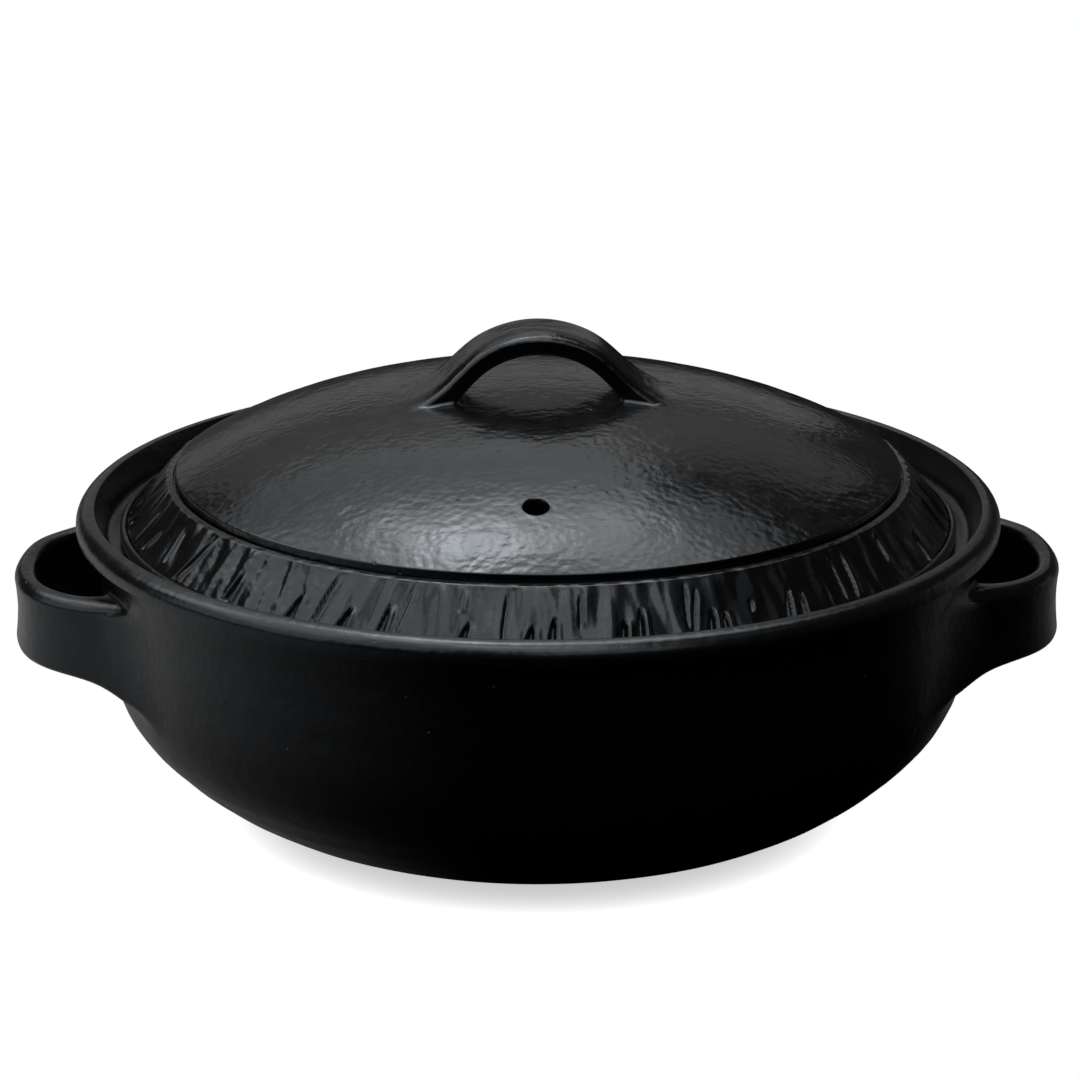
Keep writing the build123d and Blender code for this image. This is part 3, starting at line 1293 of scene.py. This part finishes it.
@dataclass
class Ears:
    """The two strap ears at the sides."""

    root: float = 115.1
    reach: float = 55.1
    half_span: float = 64.0
    thickness: float = 7.2
    foot_height: float = 59.2
    height: float = 26.1
    # shares of reach, of half span, of a quarter turn, of thickness, and of height by which
    # the section rises and falls
    stations: tuple[tuple[float, ...], ...] = (
        (1.000, 0.000, 0.000, 1.00, 0.00, 0.00),
        (0.980, 0.208, 0.112, 1.01, 0.00, 0.00),
        (0.911, 0.403, 0.290, 1.02, 0.00, 0.00),
        (0.768, 0.570, 0.539, 1.06, 0.00, 0.00),
        (0.605, 0.687, 0.686, 1.16, 0.02, 0.01),
        (0.466, 0.776, 0.730, 1.60, 0.06, 0.06),
        (0.328, 0.876, 0.751, 2.36, 0.12, 0.18),
        (0.150, 1.000, 0.733, 3.41, 0.20, 0.34),
    )

    def loops(self, strap: Strap) -> list[np.ndarray]:
        """The right ear's sections from the crest to the root on the far side.

        Args:
            strap: The strap, which gives each section its form.

        Returns:
            The sections' points.
        """
        found = []
        for reach, span, turn, thick, rise, fall in self.stations:
            outer = np.array([self.root + reach * self.reach, span * self.half_span])
            facing = radians(90 * turn)
            out = np.array([cos(facing), sin(facing)])
            depth = thick * self.thickness
            middle = outer - out * depth / 2
            low = self.foot_height - fall * self.height
            high = self.foot_height + self.height * (1 + rise)
            loop = [
                (middle[0] + x * out[0], middle[1] + x * out[1], z)
                for x, z in strap.section(depth, low, high)
            ]
            found.append(np.array(loop))
        return found

    def build(self, ground: Ground, finish: bpy.types.Material) -> None:
        """Pull both ears and join them to the wall.

        Args:
            ground: The pot's wall.
            finish: The pot's glaze.
        """
        strap = Strap(
            edge_round=2.9,
            bow=0.6,
            slump=1.7,
            fillets={"outer": 14.0, "inner": 5.0, "top": 3.0, "bottom": 7.0},
        )
        for name, node, side in (("ear_right", "right_ear", 1), ("ear_left", "left_ear", -1)):
            half = [loop * np.array([side, 1, 1]) for loop in self.loops(strap)]
            placed = EarGround(ground, side)
            ear = strap.sweep(name, half, placed, finish, np.array([1, -1, 1]))
            settle(ear, Body.POT, Slot.POT, node)


class EarGround(Ground):
    """The wall as one ear sees it: arc length measured from the ear's own middle."""

    under_lip: float = 94.4

    def __init__(self, wall: Ground, side: int) -> None:
        """Keep the wall and the side that the ear is on.

        Args:
            wall: The pot's wall.
            side: 1 for the right ear and -1 for the left one.
        """
        self.wall = wall
        self.flip = np.array([side, 1, 1])

    def local(self, point: np.ndarray) -> np.ndarray:
        """Arc length, height and distance out, mirrored to the ear's side.

        Args:
            point: A point in space.

        Returns:
            Its three coordinates on the wall.
        """
        angle = atan2(point[1], point[0] * self.flip[0])
        true = atan2(point[1], point[0])
        out = hypot(point[0], point[1]) - self.wall.radius(true, point[2])
        return np.array([angle * self.wall.arc_radius, point[2], out])

    def world(self, local: np.ndarray) -> np.ndarray:
        """The point, mirrored back.

        Args:
            local: The three coordinates on the wall.

        Returns:
            The point in space.
        """
        angle = local[0] / self.wall.arc_radius
        across, beside = cos(angle) * self.flip[0], sin(angle)
        radius = self.wall.radius(atan2(beside, across), local[1]) + local[2]
        return np.array([radius * across, radius * beside, local[1]])

    def keep(self, local: np.ndarray) -> np.ndarray:
        """The same place, kept below the lip's neck."""
        return np.array([local[0], min(local[1], self.under_lip), local[2]])


# The lid


@dataclass
class LidBody:
    """The thrown lid: dome, groove, the ledge for the bark band, flange and underside."""

    seat: float = 95.0
    flange_radius: float = 135.8
    flange_height: float = 4.3
    flange_round: float = 1.6
    bead_width: float = 2.6
    band_foot: Point = (133.2, 98.6)
    band_top: Point = (118.0, 113.95)
    groove_width: float = 0.7
    groove_depth: float = 1.1
    edge_run: float = 3.0
    edge_rise: float = 2.3
    edge_round: float = 0.8
    dome_slope_deg: float = 28.5
    crown_reach: float = 57.5
    crown_slope_deg: float = 8.5
    thickness: float = 7.2
    seat_width: float = 6.2
    hole_radius: float = 3.95
    hole_reach: float = 89.02
    hole_turn_deg: float = -93.0
    hole_sides: int = 64
    # how far past the hole's radius, and how high above the dome: the lining's soft glazed
    # lip, its bore, and the back that stays inside the clay
    hole_lining: tuple[Point, ...] = (
        (1.15, -0.5),
        (0.95, -0.02),
        (0.75, 0.04),
        (0.5, 0.03),
        (0.28, -0.06),
        (0.1, -0.24),
        (0.0, -0.55),
        (0.0, -1.2),
        (0.0, -8.2),
        (0.3, -8.5),
        (1.0, -8.4),
        (1.0, -1.2),
    )
    cutter_gap: float = 0.6
    cutter_height: float = 60.0
    cutter_middle: float = 130.0
    sharp_deg: float = 55.0

    def dome(self, drop: float, steps: int = 34) -> list[Point]:
        """Points of the dome's two arcs, from the axis to the edge.

        Args:
            drop: Distance below the outside.
            steps: Points along the dome.

        Returns:
            Radius and height of each point.
        """
        edge = (self.band_top[0] - self.groove_width, self.band_top[1] + self.edge_rise)
        lean, crown = radians(self.dome_slope_deg), radians(self.crown_slope_deg)
        brow_end = (edge[0] - self.edge_run, edge[1] + self.edge_run * tan(lean))
        brow_bend = (brow_end[0] - self.crown_reach) / (sin(lean) - sin(crown))
        brow = (brow_end[0] - brow_bend * sin(lean), brow_end[1] - brow_bend * cos(lean))
        crown_bend = self.crown_reach / sin(crown)
        top = (0.0, brow[1] - (crown_bend - brow_bend) * cos(crown))
        points = []
        for i in range(steps + 1):
            share = i / steps
            if share < 0.5:
                angle = crown * share * 2
                centre, bend = top, crown_bend
            else:
                angle = crown + (lean - crown) * (share - 0.5) * 2
                centre, bend = brow, brow_bend
            points.append(
                (centre[0] + (bend - drop) * sin(angle), centre[1] + (bend - drop) * cos(angle))
            )
        return points

    def outline(self) -> list[Point]:
        """The lid's closed outline, its slope cut back where the bark band lies.

        Returns:
            Radius and height of each point.
        """
        groove_inner = self.band_top[0] - self.groove_width
        groove_floor = self.band_top[1] - self.groove_depth
        outer = self.dome(0)
        inner = self.dome(self.thickness)
        edge = (groove_inner, self.band_top[1] + self.edge_rise)
        bead_inner = self.flange_radius - self.bead_width
        flange_top = self.seat + self.flange_height
        rim = rounded(
            [
                outer[-1],
                edge,
                (groove_inner + 0.15, groove_floor),
                (self.band_top[0] + 0.4, groove_floor),
                (self.band_top[0] + 1.2, groove_floor - 2.6),
                (self.band_foot[0] - 2.0, self.band_foot[1] - 1.2),
                (bead_inner + 0.2, self.band_foot[1] - 0.9),
                (bead_inner + 0.4, flange_top),
                (self.flange_radius, flange_top),
                (self.flange_radius, self.seat),
                (self.flange_radius - self.seat_width, self.seat),
                inner[-1],
            ],
            [self.edge_round, 0.2, 0, 0, 0, 0.5, 1.0, self.flange_round, self.flange_round, 0.8],
            run=2.2,
        )
        return [*outer[:-1], *rim, *reversed(inner[:-1])]

    def build(self, finish: bpy.types.Material) -> bpy.types.Object:
        """Throw the lid and cut its steam hole.

        Args:
            finish: The lid's glaze.

        Returns:
            The lid.
        """
        wheel = Lathe(around=560, wobble_mm=0.2, ring_depth_mm=0.09, ring_pitch_mm=9.0, seed=8.0)
        points = self.outline()
        top = self.band_top[1] + self.edge_rise
        ring = [1.0 if z > top + 2 and 12 < r < 110 else 0.0 for r, z in points]
        lid = wheel.turn("lid_dome", points, finish, ring=ring)
        self.cut_hole(lid, finish)
        settle(lid, Body.LID, Slot.LID, "lid")
        return lid

    def ring_mesh(
        self, name: str, section: list[Point], ground: DomeGround, finish: bpy.types.Material
    ) -> bpy.types.Object:
        """Turn a closed section round the steam hole's own axis.

        Args:
            name: The mesh's name.
            section: Distance from the hole's axis and height above the dome.
            ground: The dome.
            finish: The lid's glaze.

        Returns:
            The ring.
        """
        turn = radians(self.hole_turn_deg)
        centre = (self.hole_reach * cos(turn), self.hole_reach * sin(turn))
        around, count = self.hole_sides, len(section)
        points = []
        for k in range(around):
            way = 2 * pi * k / around
            for radius, above in section:
                x, y = centre[0] + radius * cos(way), centre[1] + radius * sin(way)
                points.append((x, y, ground.height(x, y) + above))
        faces = []
        for k in range(around):
            n = (k + 1) % around
            for i in range(count):
                j = (i + 1) % count
                faces.append((k * count + i, k * count + j, n * count + j, n * count + i))
        return mesh_object(name, np.array(points), faces, finish)

    def cut_hole(self, lid: bpy.types.Object, finish: bpy.types.Material) -> None:
        """Cut the steam hole and line it with its rounded, glazed edge.

        Args:
            lid: The lid, whose mesh is changed.
            finish: The lid's glaze.
        """
        ground = DomeGround(lid)
        hole = self.hole_radius
        section = [(hole + beside, above) for beside, above in self.hole_lining]
        lining = self.ring_mesh("hole_lining", section, ground, finish)
        turn = radians(self.hole_turn_deg)
        middle = (self.hole_reach * cos(turn), self.hole_reach * sin(turn), self.cutter_middle)
        bpy.ops.mesh.primitive_cylinder_add(
            vertices=self.hole_sides,
            radius=(hole + self.cutter_gap) * MM,
            depth=self.cutter_height * MM,
            location=[part * MM for part in middle],
        )
        cutter = bpy.context.object
        cutter.data.materials.append(finish)
        cut = lid.modifiers.new("hole", "BOOLEAN")
        cut.operation = "DIFFERENCE"
        cut.solver = "EXACT"
        cut.object = cutter
        graph = bpy.context.evaluated_depsgraph_get()
        holed = bpy.data.meshes.new_from_object(lid.evaluated_get(graph))
        lid.modifiers.remove(cut)
        holed.set_sharp_from_angle(angle=radians(self.sharp_deg))
        shape = bmesh.new()
        shape.from_mesh(holed)
        shape.from_mesh(lining.data)
        shape.to_mesh(holed)
        shape.free()
        lid.data = holed
        bpy.data.objects.remove(cutter)
        bpy.data.objects.remove(lining)


@dataclass(frozen=True)
class Crack:
    """One tear in the bark band, from the flange upwards.

    Azimuth is in degrees from the front, to the right; lean is what it gains by its upper
    end; low and high are shares of the band; width and depth are in millimetres; ridge is
    the clay raised on its right side; notch is 1 for a wedge that opens towards the flange
    and 0 for an even line.
    """

    azimuth: float
    lean: float
    low: float
    high: float
    width: float
    depth: float
    ridge: float = 0.0
    notch: float = 1.0


@dataclass
class BarkBand:
    """The steep band round the lid, torn into radial bark before the glaze went on."""

    foot: Point = (133.2, 98.6)
    top: Point = (118.0, 113.95)
    brow: Point = (120.5, 113.45)
    around: int = 1900
    bark_depth: float = 1.9
    face_depth: float = 1.4
    # narrower tears would break up into dots in the picture
    narrowest_half: float = 0.68
    ridge_reach: float = 0.9
    ridge_gain: float = 0.8
    seed: int = 11
    patch: tuple[float, float] = (-60.0, -29.0)
    patch_fade_deg: float = 5.0
    patch_grain_mm: float = 2.0
    patch_depth: float = 0.09
    cracks: tuple[Crack, ...] = (
        Crack(-79.0, 1.0, 0.10, 0.80, 1.2, 0.8, 0.5, 0.0),
        Crack(-74.3, 1.5, 0.12, 0.62, 1.4, 0.8, 0.8, 0.0),
        Crack(-66.0, -1.0, 0.20, 0.90, 2.4, 0.8, 0.6, 0.3),
        Crack(-61.0, 2.8, 0.03, 0.98, 1.8, 1.5, 1.0, 0.3),
        Crack(-49.0, 0.6, 0.04, 0.60, 2.2, 1.5, 1.0),
        Crack(-37.7, 0.9, 0.06, 0.55, 2.0, 1.5, 0.3),
        Crack(-33.9, 1.6, 0.08, 0.94, 1.0, 1.1, 0.5, 0.3),
        Crack(-29.5, 0.7, 0.04, 0.45, 2.4, 1.7, 1.1),
        Crack(-23.8, 0.6, 0.04, 0.58, 2.0, 1.4, 1.0),
        Crack(-21.9, 1.7, 0.10, 0.97, 0.9, 0.5, 0.5, 0.0),
        Crack(-13.4, 0.0, 0.55, 0.92, 0.9, 0.4, 0.3, 0.0),
        Crack(-12.7, 0.9, 0.04, 0.40, 1.8, 1.5, 0.3),
        Crack(-7.2, 0.3, 0.08, 0.92, 1.0, 0.6, 0.2, 0.0),
        Crack(-3.8, 0.4, 0.03, 0.37, 2.2, 1.7, 0.2),
        Crack(-0.9, 0.6, 0.03, 0.50, 2.1, 1.7, 0.3),
        Crack(3.0, 0.5, 0.34, 0.96, 1.0, 0.6, 0.3, 0.0),
        Crack(8.4, 0.7, 0.03, 0.42, 2.2, 1.6, 0.9),
        Crack(10.7, 1.0, 0.03, 0.60, 2.2, 1.6, 1.1),
        Crack(17.6, 0.9, 0.20, 0.94, 0.9, 0.6, 0.3, 0.0),
        Crack(18.2, 1.8, 0.04, 0.84, 1.0, 0.9, 0.3, 0.3),
        Crack(20.7, 0.9, 0.03, 0.45, 2.1, 1.6, 0.8),
        Crack(22.7, 0.6, 0.03, 0.40, 1.9, 1.4, 1.0),
        Crack(27.3, 0.3, 0.30, 0.50, 1.5, 0.6, 0.3, 0.0),
        Crack(32.7, 1.4, 0.03, 0.55, 1.9, 1.6, 0.4),
        Crack(35.2, 0.9, 0.03, 0.45, 1.7, 1.5, 0.3),
        Crack(43.2, 0.8, 0.10, 0.90, 0.9, 0.8, 0.2, 0.0),
        Crack(45.4, 1.5, 0.08, 0.92, 1.0, 0.9, 0.3, 0.2),
        Crack(55.6, 0.5, 0.40, 0.90, 1.2, 0.8, 0.8, 0.0),
        Crack(66.0, 0.8, 0.04, 0.60, 1.6, 1.4, 0.5),
        Crack(78.8, 0.4, 0.10, 0.80, 1.4, 1.0, 0.5, 0.0),
    )

    def section(self) -> tuple[list[Point], list[float]]:
        """The ring's closed section and each point's share of the bark.

        Returns:
            Radius and height of each point, and the shares.
        """
        points = rounded(
            [
                (self.top[0], self.top[1] - 3.2),
                self.top,
                self.brow,
                self.foot,
                (self.foot[0] + 0.15, self.foot[1] - 1.1),
                (self.foot[0] - 3.0, self.foot[1] - 2.0),
                (self.top[0] + 1.4, self.top[1] - 4.6),
                (self.top[0], self.top[1] - 3.2),
            ],
            [0.4, 0.9, 0, 0, 0, 0],
            run=0.5,
        )
        fall = tan(radians(slope(self.brow, self.foot)))
        bark = []
        for radius, height in points:
            down = (radius - self.top[0]) / (self.foot[0] - self.top[0])
            above = height - (self.brow[1] + (radius - self.brow[0]) * fall)
            shown = above > -0.6 and height > self.foot[1]
            bark.append(0.15 + 0.85 * min(1.0, max(0.0, down - 0.1) / 0.12) if shown else 0.0)
        return points, bark

    def all_cracks(self) -> list[Crack]:
        """The front's tears and, round the back, more of the same kind.

        Returns:
            The tears.
        """
        chance = Random(self.seed)
        found = list(self.cracks)
        azimuth = 84.0
        while azimuth < 276:
            high = chance.choice((0.4, 0.5, 0.6, 0.9))
            found.append(
                Crack(
                    azimuth,
                    chance.uniform(-0.6, 1.6),
                    chance.uniform(0.03, 0.12),
                    high,
                    chance.uniform(0.9, 2.2),
                    chance.uniform(0.7, 1.6),
                    chance.uniform(0.1, 0.9),
                    chance.choice((0.0, 0.3, 1.0, 1.0)),
                )
            )
            azimuth += chance.choice((2.4, 3.2, 4.6, 6.0, 8.0))
        return found

    def tear(self, band: bpy.types.Object) -> None:
        """Carve the tears into the band's face and raise the clay beside them.

        Args:
            band: The band, whose points are moved.
        """
        mesh = band.data
        points = np.empty(len(mesh.vertices) * 3)
        mesh.vertices.foreach_get("co", points)
        points = points.reshape(-1, 3) / MM
        run = np.array([self.foot[0] - self.brow[0], self.foot[1] - self.brow[1]])
        length = float(np.hypot(*run))
        out = np.array([-run[1], run[0]]) / length
        radius = np.hypot(points[:, 0], points[:, 1])
        flat = np.column_stack([radius - self.brow[0], points[:, 2] - self.brow[1]])
        share = 1 - (flat @ run) / length**2
        above = flat @ out
        face = (above > -self.face_depth) & (share > -0.02) & (share < 1.02)
        azimuth = np.degrees(np.arctan2(points[:, 0], -points[:, 1]))
        lift = np.zeros(len(points))
        for crack in self.all_cracks():
            span = crack.high - crack.low
            up = (share - crack.low) / span
            wander = 0.12 * np.sin(share * 7 + crack.azimuth)
            centre = crack.azimuth + crack.lean * up
            gap = (azimuth - centre + 180) % 360 - 180
            aside = np.radians(gap) * radius + wander
            body = np.clip(np.minimum(up * 6 + 0.55, (1 - up) * 3.0), 0, 1)
            taper = (1 - np.clip(up, 0, 1)) ** 0.8 * 1.1 + 0.12
            half = crack.width * 0.5 * (crack.notch * taper + (1 - crack.notch) * 0.8) + 0.3
            half = np.maximum(half, self.narrowest_half)
            cut = np.clip((1 - np.abs(aside) / half) * 1.6, 0, 1)
            lift -= crack.depth * cut * body
            beside = (aside - half) / self.ridge_reach - 1
            lift += self.ridge_gain * crack.ridge * np.exp(-(beside**2)) * body
        # a stretch on the left where the clay was crumpled, not drawn out
        first, last = self.patch
        ramp = np.minimum(azimuth - first, last - azimuth) / self.patch_fade_deg
        weight = np.clip(ramp, 0, 1) * np.clip(np.minimum(share, 1 - share) * 8, 0, 1)
        for i in np.nonzero(face & (weight > 0))[0]:
            spot = Vector(points[i] / self.patch_grain_mm)
            lift[i] += self.patch_depth * weight[i] * noise.noise(spot)
        points[face, 2] += lift[face] * out[1]
        grow = 1 + lift[face] * out[0] / radius[face]
        points[face, 0] *= grow
        points[face, 1] *= grow
        mesh.vertices.foreach_set("co", (points * MM).ravel())
        mesh.update()

    def build(self, finish: bpy.types.Material) -> None:
        """Turn the band and tear its face.

        Args:
            finish: The torn clay's glaze.
        """
        wheel = Lathe(
            around=self.around, wobble_mm=0.0, bark_depth_mm=self.bark_depth, seed=5.0
        )
        points, bark = self.section()
        band = wheel.turn("lid_bark_band", points, finish, bark=bark)
        self.tear(band)
        settle(band, Body.LID, Slot.LID, "lid")


@dataclass
class LidArch:
    """The arched strap on top of the lid."""

    peak: float = 162.213
    dome_top: float = 141.513
    thickness: float = 7.2
    width: float = 22.0
    bend: float = 36.3
    thinning: float = 0.6
    sink: float = 9.0
    leg_deg: float = 50.0
    # share of the bend and of the width gained there
    bends: tuple[Point, ...] = ((0.0, 0.0), (0.34, 0.0), (0.68, 0.03), (1.0, 0.10))
    # down the leg: share of its run, flare and tuck in thicknesses, share of width gained
    feet: tuple[tuple[float, ...], ...] = (
        (0.33, 0.15, -0.03, 0.20),
        (0.66, 0.46, -0.06, 0.32),
        (1.00, 0.84, -0.08, 0.42),
    )

    def loops(self, strap: Strap) -> list[np.ndarray]:
        """Sections from the crown to one foot.

        Args:
            strap: The strap, which gives each section its form.

        Returns:
            The sections' points.
        """
        leg = radians(self.leg_deg)
        inner_bend = self.bend - self.thickness + self.thinning
        pairs = []
        for turn, gain in self.bends:
            across, up = sin(leg * turn), cos(leg * turn)
            outer = np.array([self.bend * across, self.peak - self.bend * (1 - up)])
            under = self.peak - self.thickness
            inner = np.array([inner_bend * across, under - inner_bend * (1 - up)])
            pairs.append((outer, inner, self.width * (1 + gain)))
        last_outer, last_inner, _ = pairs[-1]
        down, away = np.array([cos(leg), -sin(leg)]), np.array([sin(leg), cos(leg)])
        run = (last_outer[1] - self.dome_top + self.sink) / sin(leg)
        for along, flare, tuck, gain in self.feet:
            outer = last_outer + along * run * down + flare * self.thickness * away
            inner = last_inner + along * run * down - tuck * self.thickness * away
            pairs.append((outer, inner, self.width * (1 + gain)))
        found = []
        for outer, inner, width in pairs:
            middle = (outer + inner) / 2
            out = (outer - inner) / np.linalg.norm(outer - inner)
            depth = float(np.linalg.norm(outer - inner))
            loop = [
                (middle[0] + x * out[0], y, middle[1] + x * out[1])
                for x, y in strap.section(depth, -width / 2, width / 2)
            ]
            found.append(np.array(loop))
        return found

    def build(self, ground: Ground, finish: bpy.types.Material) -> None:
        """Pull the arch and join it to the dome.

        Args:
            ground: The lid's dome.
            finish: The lid's glaze.
        """
        strap = Strap(
            edge_round=1.5,
            bow=0.0,
            crown=1.6,
            rows=40,
            dent_size_mm=13.0,
            dent_mm=0.25,
            fillets={"outer": 4.0, "inner": 0.9, "top": 3.0, "bottom": 2.2},
        )
        mirror = np.array([-1, 1, 1])
        arch = strap.sweep("lid_arch", self.loops(strap), ground, finish, mirror)
        settle(arch, Body.LID, Slot.LID, "lid_handle")


# Floor, light and camera


@dataclass(frozen=True)
class SoftBox:
    """One soft lamp; azimuth 0 is behind the pot and negative is to the left."""

    name: str
    azimuth: float
    elevation: float
    width: float
    height: float
    radiance: float
    distance: float = 2.0

    def build(self) -> None:
        """Hang the lamp, turned to the pot."""
        lamp = bpy.data.lights.new(self.name, "AREA")
        lamp.shape = "RECTANGLE"
        lamp.size = self.width
        lamp.size_y = self.height
        lamp.energy = self.radiance * pi * self.width * self.height
        holder = bpy.data.objects.new(self.name, lamp)
        turn, rise = radians(self.azimuth), radians(self.elevation)
        way = Vector((sin(turn) * cos(rise), cos(turn) * cos(rise), sin(rise)))
        holder.location = Vector((0, 0, 0.1)) + way * self.distance
        holder.rotation_euler = way.to_track_quat("Z", "Y").to_euler()
        holder.visible_camera = False
        bpy.context.scene.collection.objects.link(holder)


@dataclass
class Studio:
    """The pale floor, the lamps, the world and the camera."""

    floor_half: float = 9.0
    camera_azimuth: float = -2.6
    camera_elevation: float = 17.58
    camera_distance: float = 1.5
    target_height: float = 0.09
    lens: float = 153.35
    sensor: float = 36.0
    shift_x: float = 0.0017
    room_share: float = 0.03
    boxes: tuple[SoftBox, ...] = (
        SoftBox("key_core", -17, 69, 0.34, 0.3, 4.8),
        SoftBox("key_box", -15, 68, 0.62, 0.5, 2.6),
        SoftBox("key_veil", -6, 66, 1.2, 0.8, 1.5),
        SoftBox("key_left", -44, 67, 0.6, 0.7, 1.7),
        SoftBox("key_right", 37, 69, 0.9, 0.6, 2.1),
        SoftBox("right_upper", 40, 56, 0.7, 0.5, 0.8),
        SoftBox("back_upper", -16, 53, 1.6, 0.6, 0.45),
        SoftBox("back_veil", -26, 47, 2.2, 1.0, 0.5),
        SoftBox("overhead", -60, 86, 1.0, 1.0, 1.8),
        SoftBox("overhead_left", -112, 66, 0.7, 0.9, 1.4),
        SoftBox("overhead_front", 176, 65, 0.8, 1.2, 1.9),
        SoftBox("front_left", -148, 64, 0.5, 1.1, 1.6),
        SoftBox("front_right", 150, 62, 0.4, 0.8, 0.5),
        SoftBox("side_right", 116, 56, 0.8, 0.7, 0.17),
        SoftBox("left_upper", -88, 45, 1.7, 0.9, 1.6),
        SoftBox("left_front", -137, 37, 1.0, 1.0, 0.85),
        SoftBox("front_low", 166, 38, 1.2, 0.9, 0.8),
        SoftBox("left_high", -78, 68, 0.7, 0.7, 1.7),
        SoftBox("left_back", -57, 45, 0.7, 0.8, 1.0),
        SoftBox("left_low", -102, 20, 1.7, 0.8, 0.8),
        SoftBox("back_low", 2, 31, 2.0, 0.7, 0.22),
        SoftBox("back_horizon", -4, 11, 1.6, 0.5, 0.24),
        SoftBox("right_low", 64, 9, 0.8, 0.5, 0.2),
    )

    def build(self) -> None:
        """Lay the floor, hang the lamps and set the camera."""
        half = self.floor_half
        mesh = bpy.data.meshes.new("floor")
        mesh.from_pydata(
            [(-half, -half, 0), (half, -half, 0), (half, half, 0), (-half, half, 0)],
            [],
            [(0, 1, 2, 3)],
        )
        mesh.materials.append(PaleFloor().build())
        floor = bpy.data.objects.new("floor", mesh)
        bpy.context.scene.collection.objects.link(floor)
        for box in self.boxes:
            box.build()
        self.build_world()
        self.build_camera()

    def build_world(self) -> None:
        """A white background, of which the glaze mirrors only a dim share."""
        world = bpy.data.worlds.new("white_room")
        bpy.context.scene.world = world
        world.use_nodes = True
        tree = world.node_tree
        tree.nodes.clear()
        path = add_node(tree, "ShaderNodeLightPath")
        mirrored = add_node(
            tree,
            "ShaderNodeMath",
            {0: path.outputs["Is Glossy Ray"], 1: path.outputs["Is Transmission Ray"]},
            operation="MAXIMUM",
        )
        strength = add_node(
            tree,
            "ShaderNodeMath",
            {0: mirrored.outputs[0], 1: self.room_share, 2: path.outputs["Is Camera Ray"]},
            operation="MULTIPLY_ADD",
        )
        glow = add_node(
            tree,
            "ShaderNodeBackground",
            {"Color": srgb("#ffffff"), "Strength": strength.outputs[0]},
        )
        add_node(tree, "ShaderNodeOutputWorld", {"Surface": glow.outputs[0]})

    def build_camera(self) -> None:
        """Stand the camera where the photograph was taken."""
        camera = bpy.data.cameras.new("camera")
        camera.sensor_width = self.sensor
        camera.lens = self.lens
        camera.shift_x = self.shift_x
        camera.clip_end = 50
        holder = bpy.data.objects.new("camera", camera)
        turn, rise = radians(self.camera_azimuth), radians(self.camera_elevation)
        way = Vector((sin(turn) * cos(rise), -cos(turn) * cos(rise), sin(rise)))
        holder.location = Vector((0, 0, self.target_height)) + way * self.camera_distance
        holder.rotation_euler = way.to_track_quat("Z", "Y").to_euler()
        bpy.context.scene.collection.objects.link(holder)
        bpy.context.scene.camera = holder
        bpy.context.scene.view_settings.view_transform = "Standard"


def main() -> None:
    """Build the pot, the lid and the studio in order."""
    logging.basicConfig(level=logging.INFO, format="%(message)s")
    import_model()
    # dipped black iron glaze, wiped off the foot: soft grey sheens on a black wall
    pot_glaze = SatinGlaze("satin_black_glaze_pot", glaze_line_mm=4.0).build()
    # the same glaze, pooled thicker on the lid: its peel glitters round the brightest spot
    lid_glaze = SatinGlaze(
        "satin_black_glaze_lid", peel_depth_mm=0.15, roughness=0.19
    ).build()
    # thin glaze over clay torn while it was leather-hard: smooth shining facets, black tears
    torn_glaze = SatinGlaze(
        "torn_clay_black_glaze",
        roughness=0.2,
        peel_mm=1.6,
        peel_depth_mm=0.05,
        swell_mm=5.0,
        swell_depth_mm=0.1,
    ).build()

    bowl = PotBody().build(pot_glaze)
    Ears().build(WallGround(bowl), pot_glaze)
    lid = LidBody().build(lid_glaze)
    BarkBand().build(torn_glaze)
    LidArch().build(DomeGround(lid), lid_glaze)
    Studio().build()

    log.info("built")


if __name__ == "__main__":
    main()
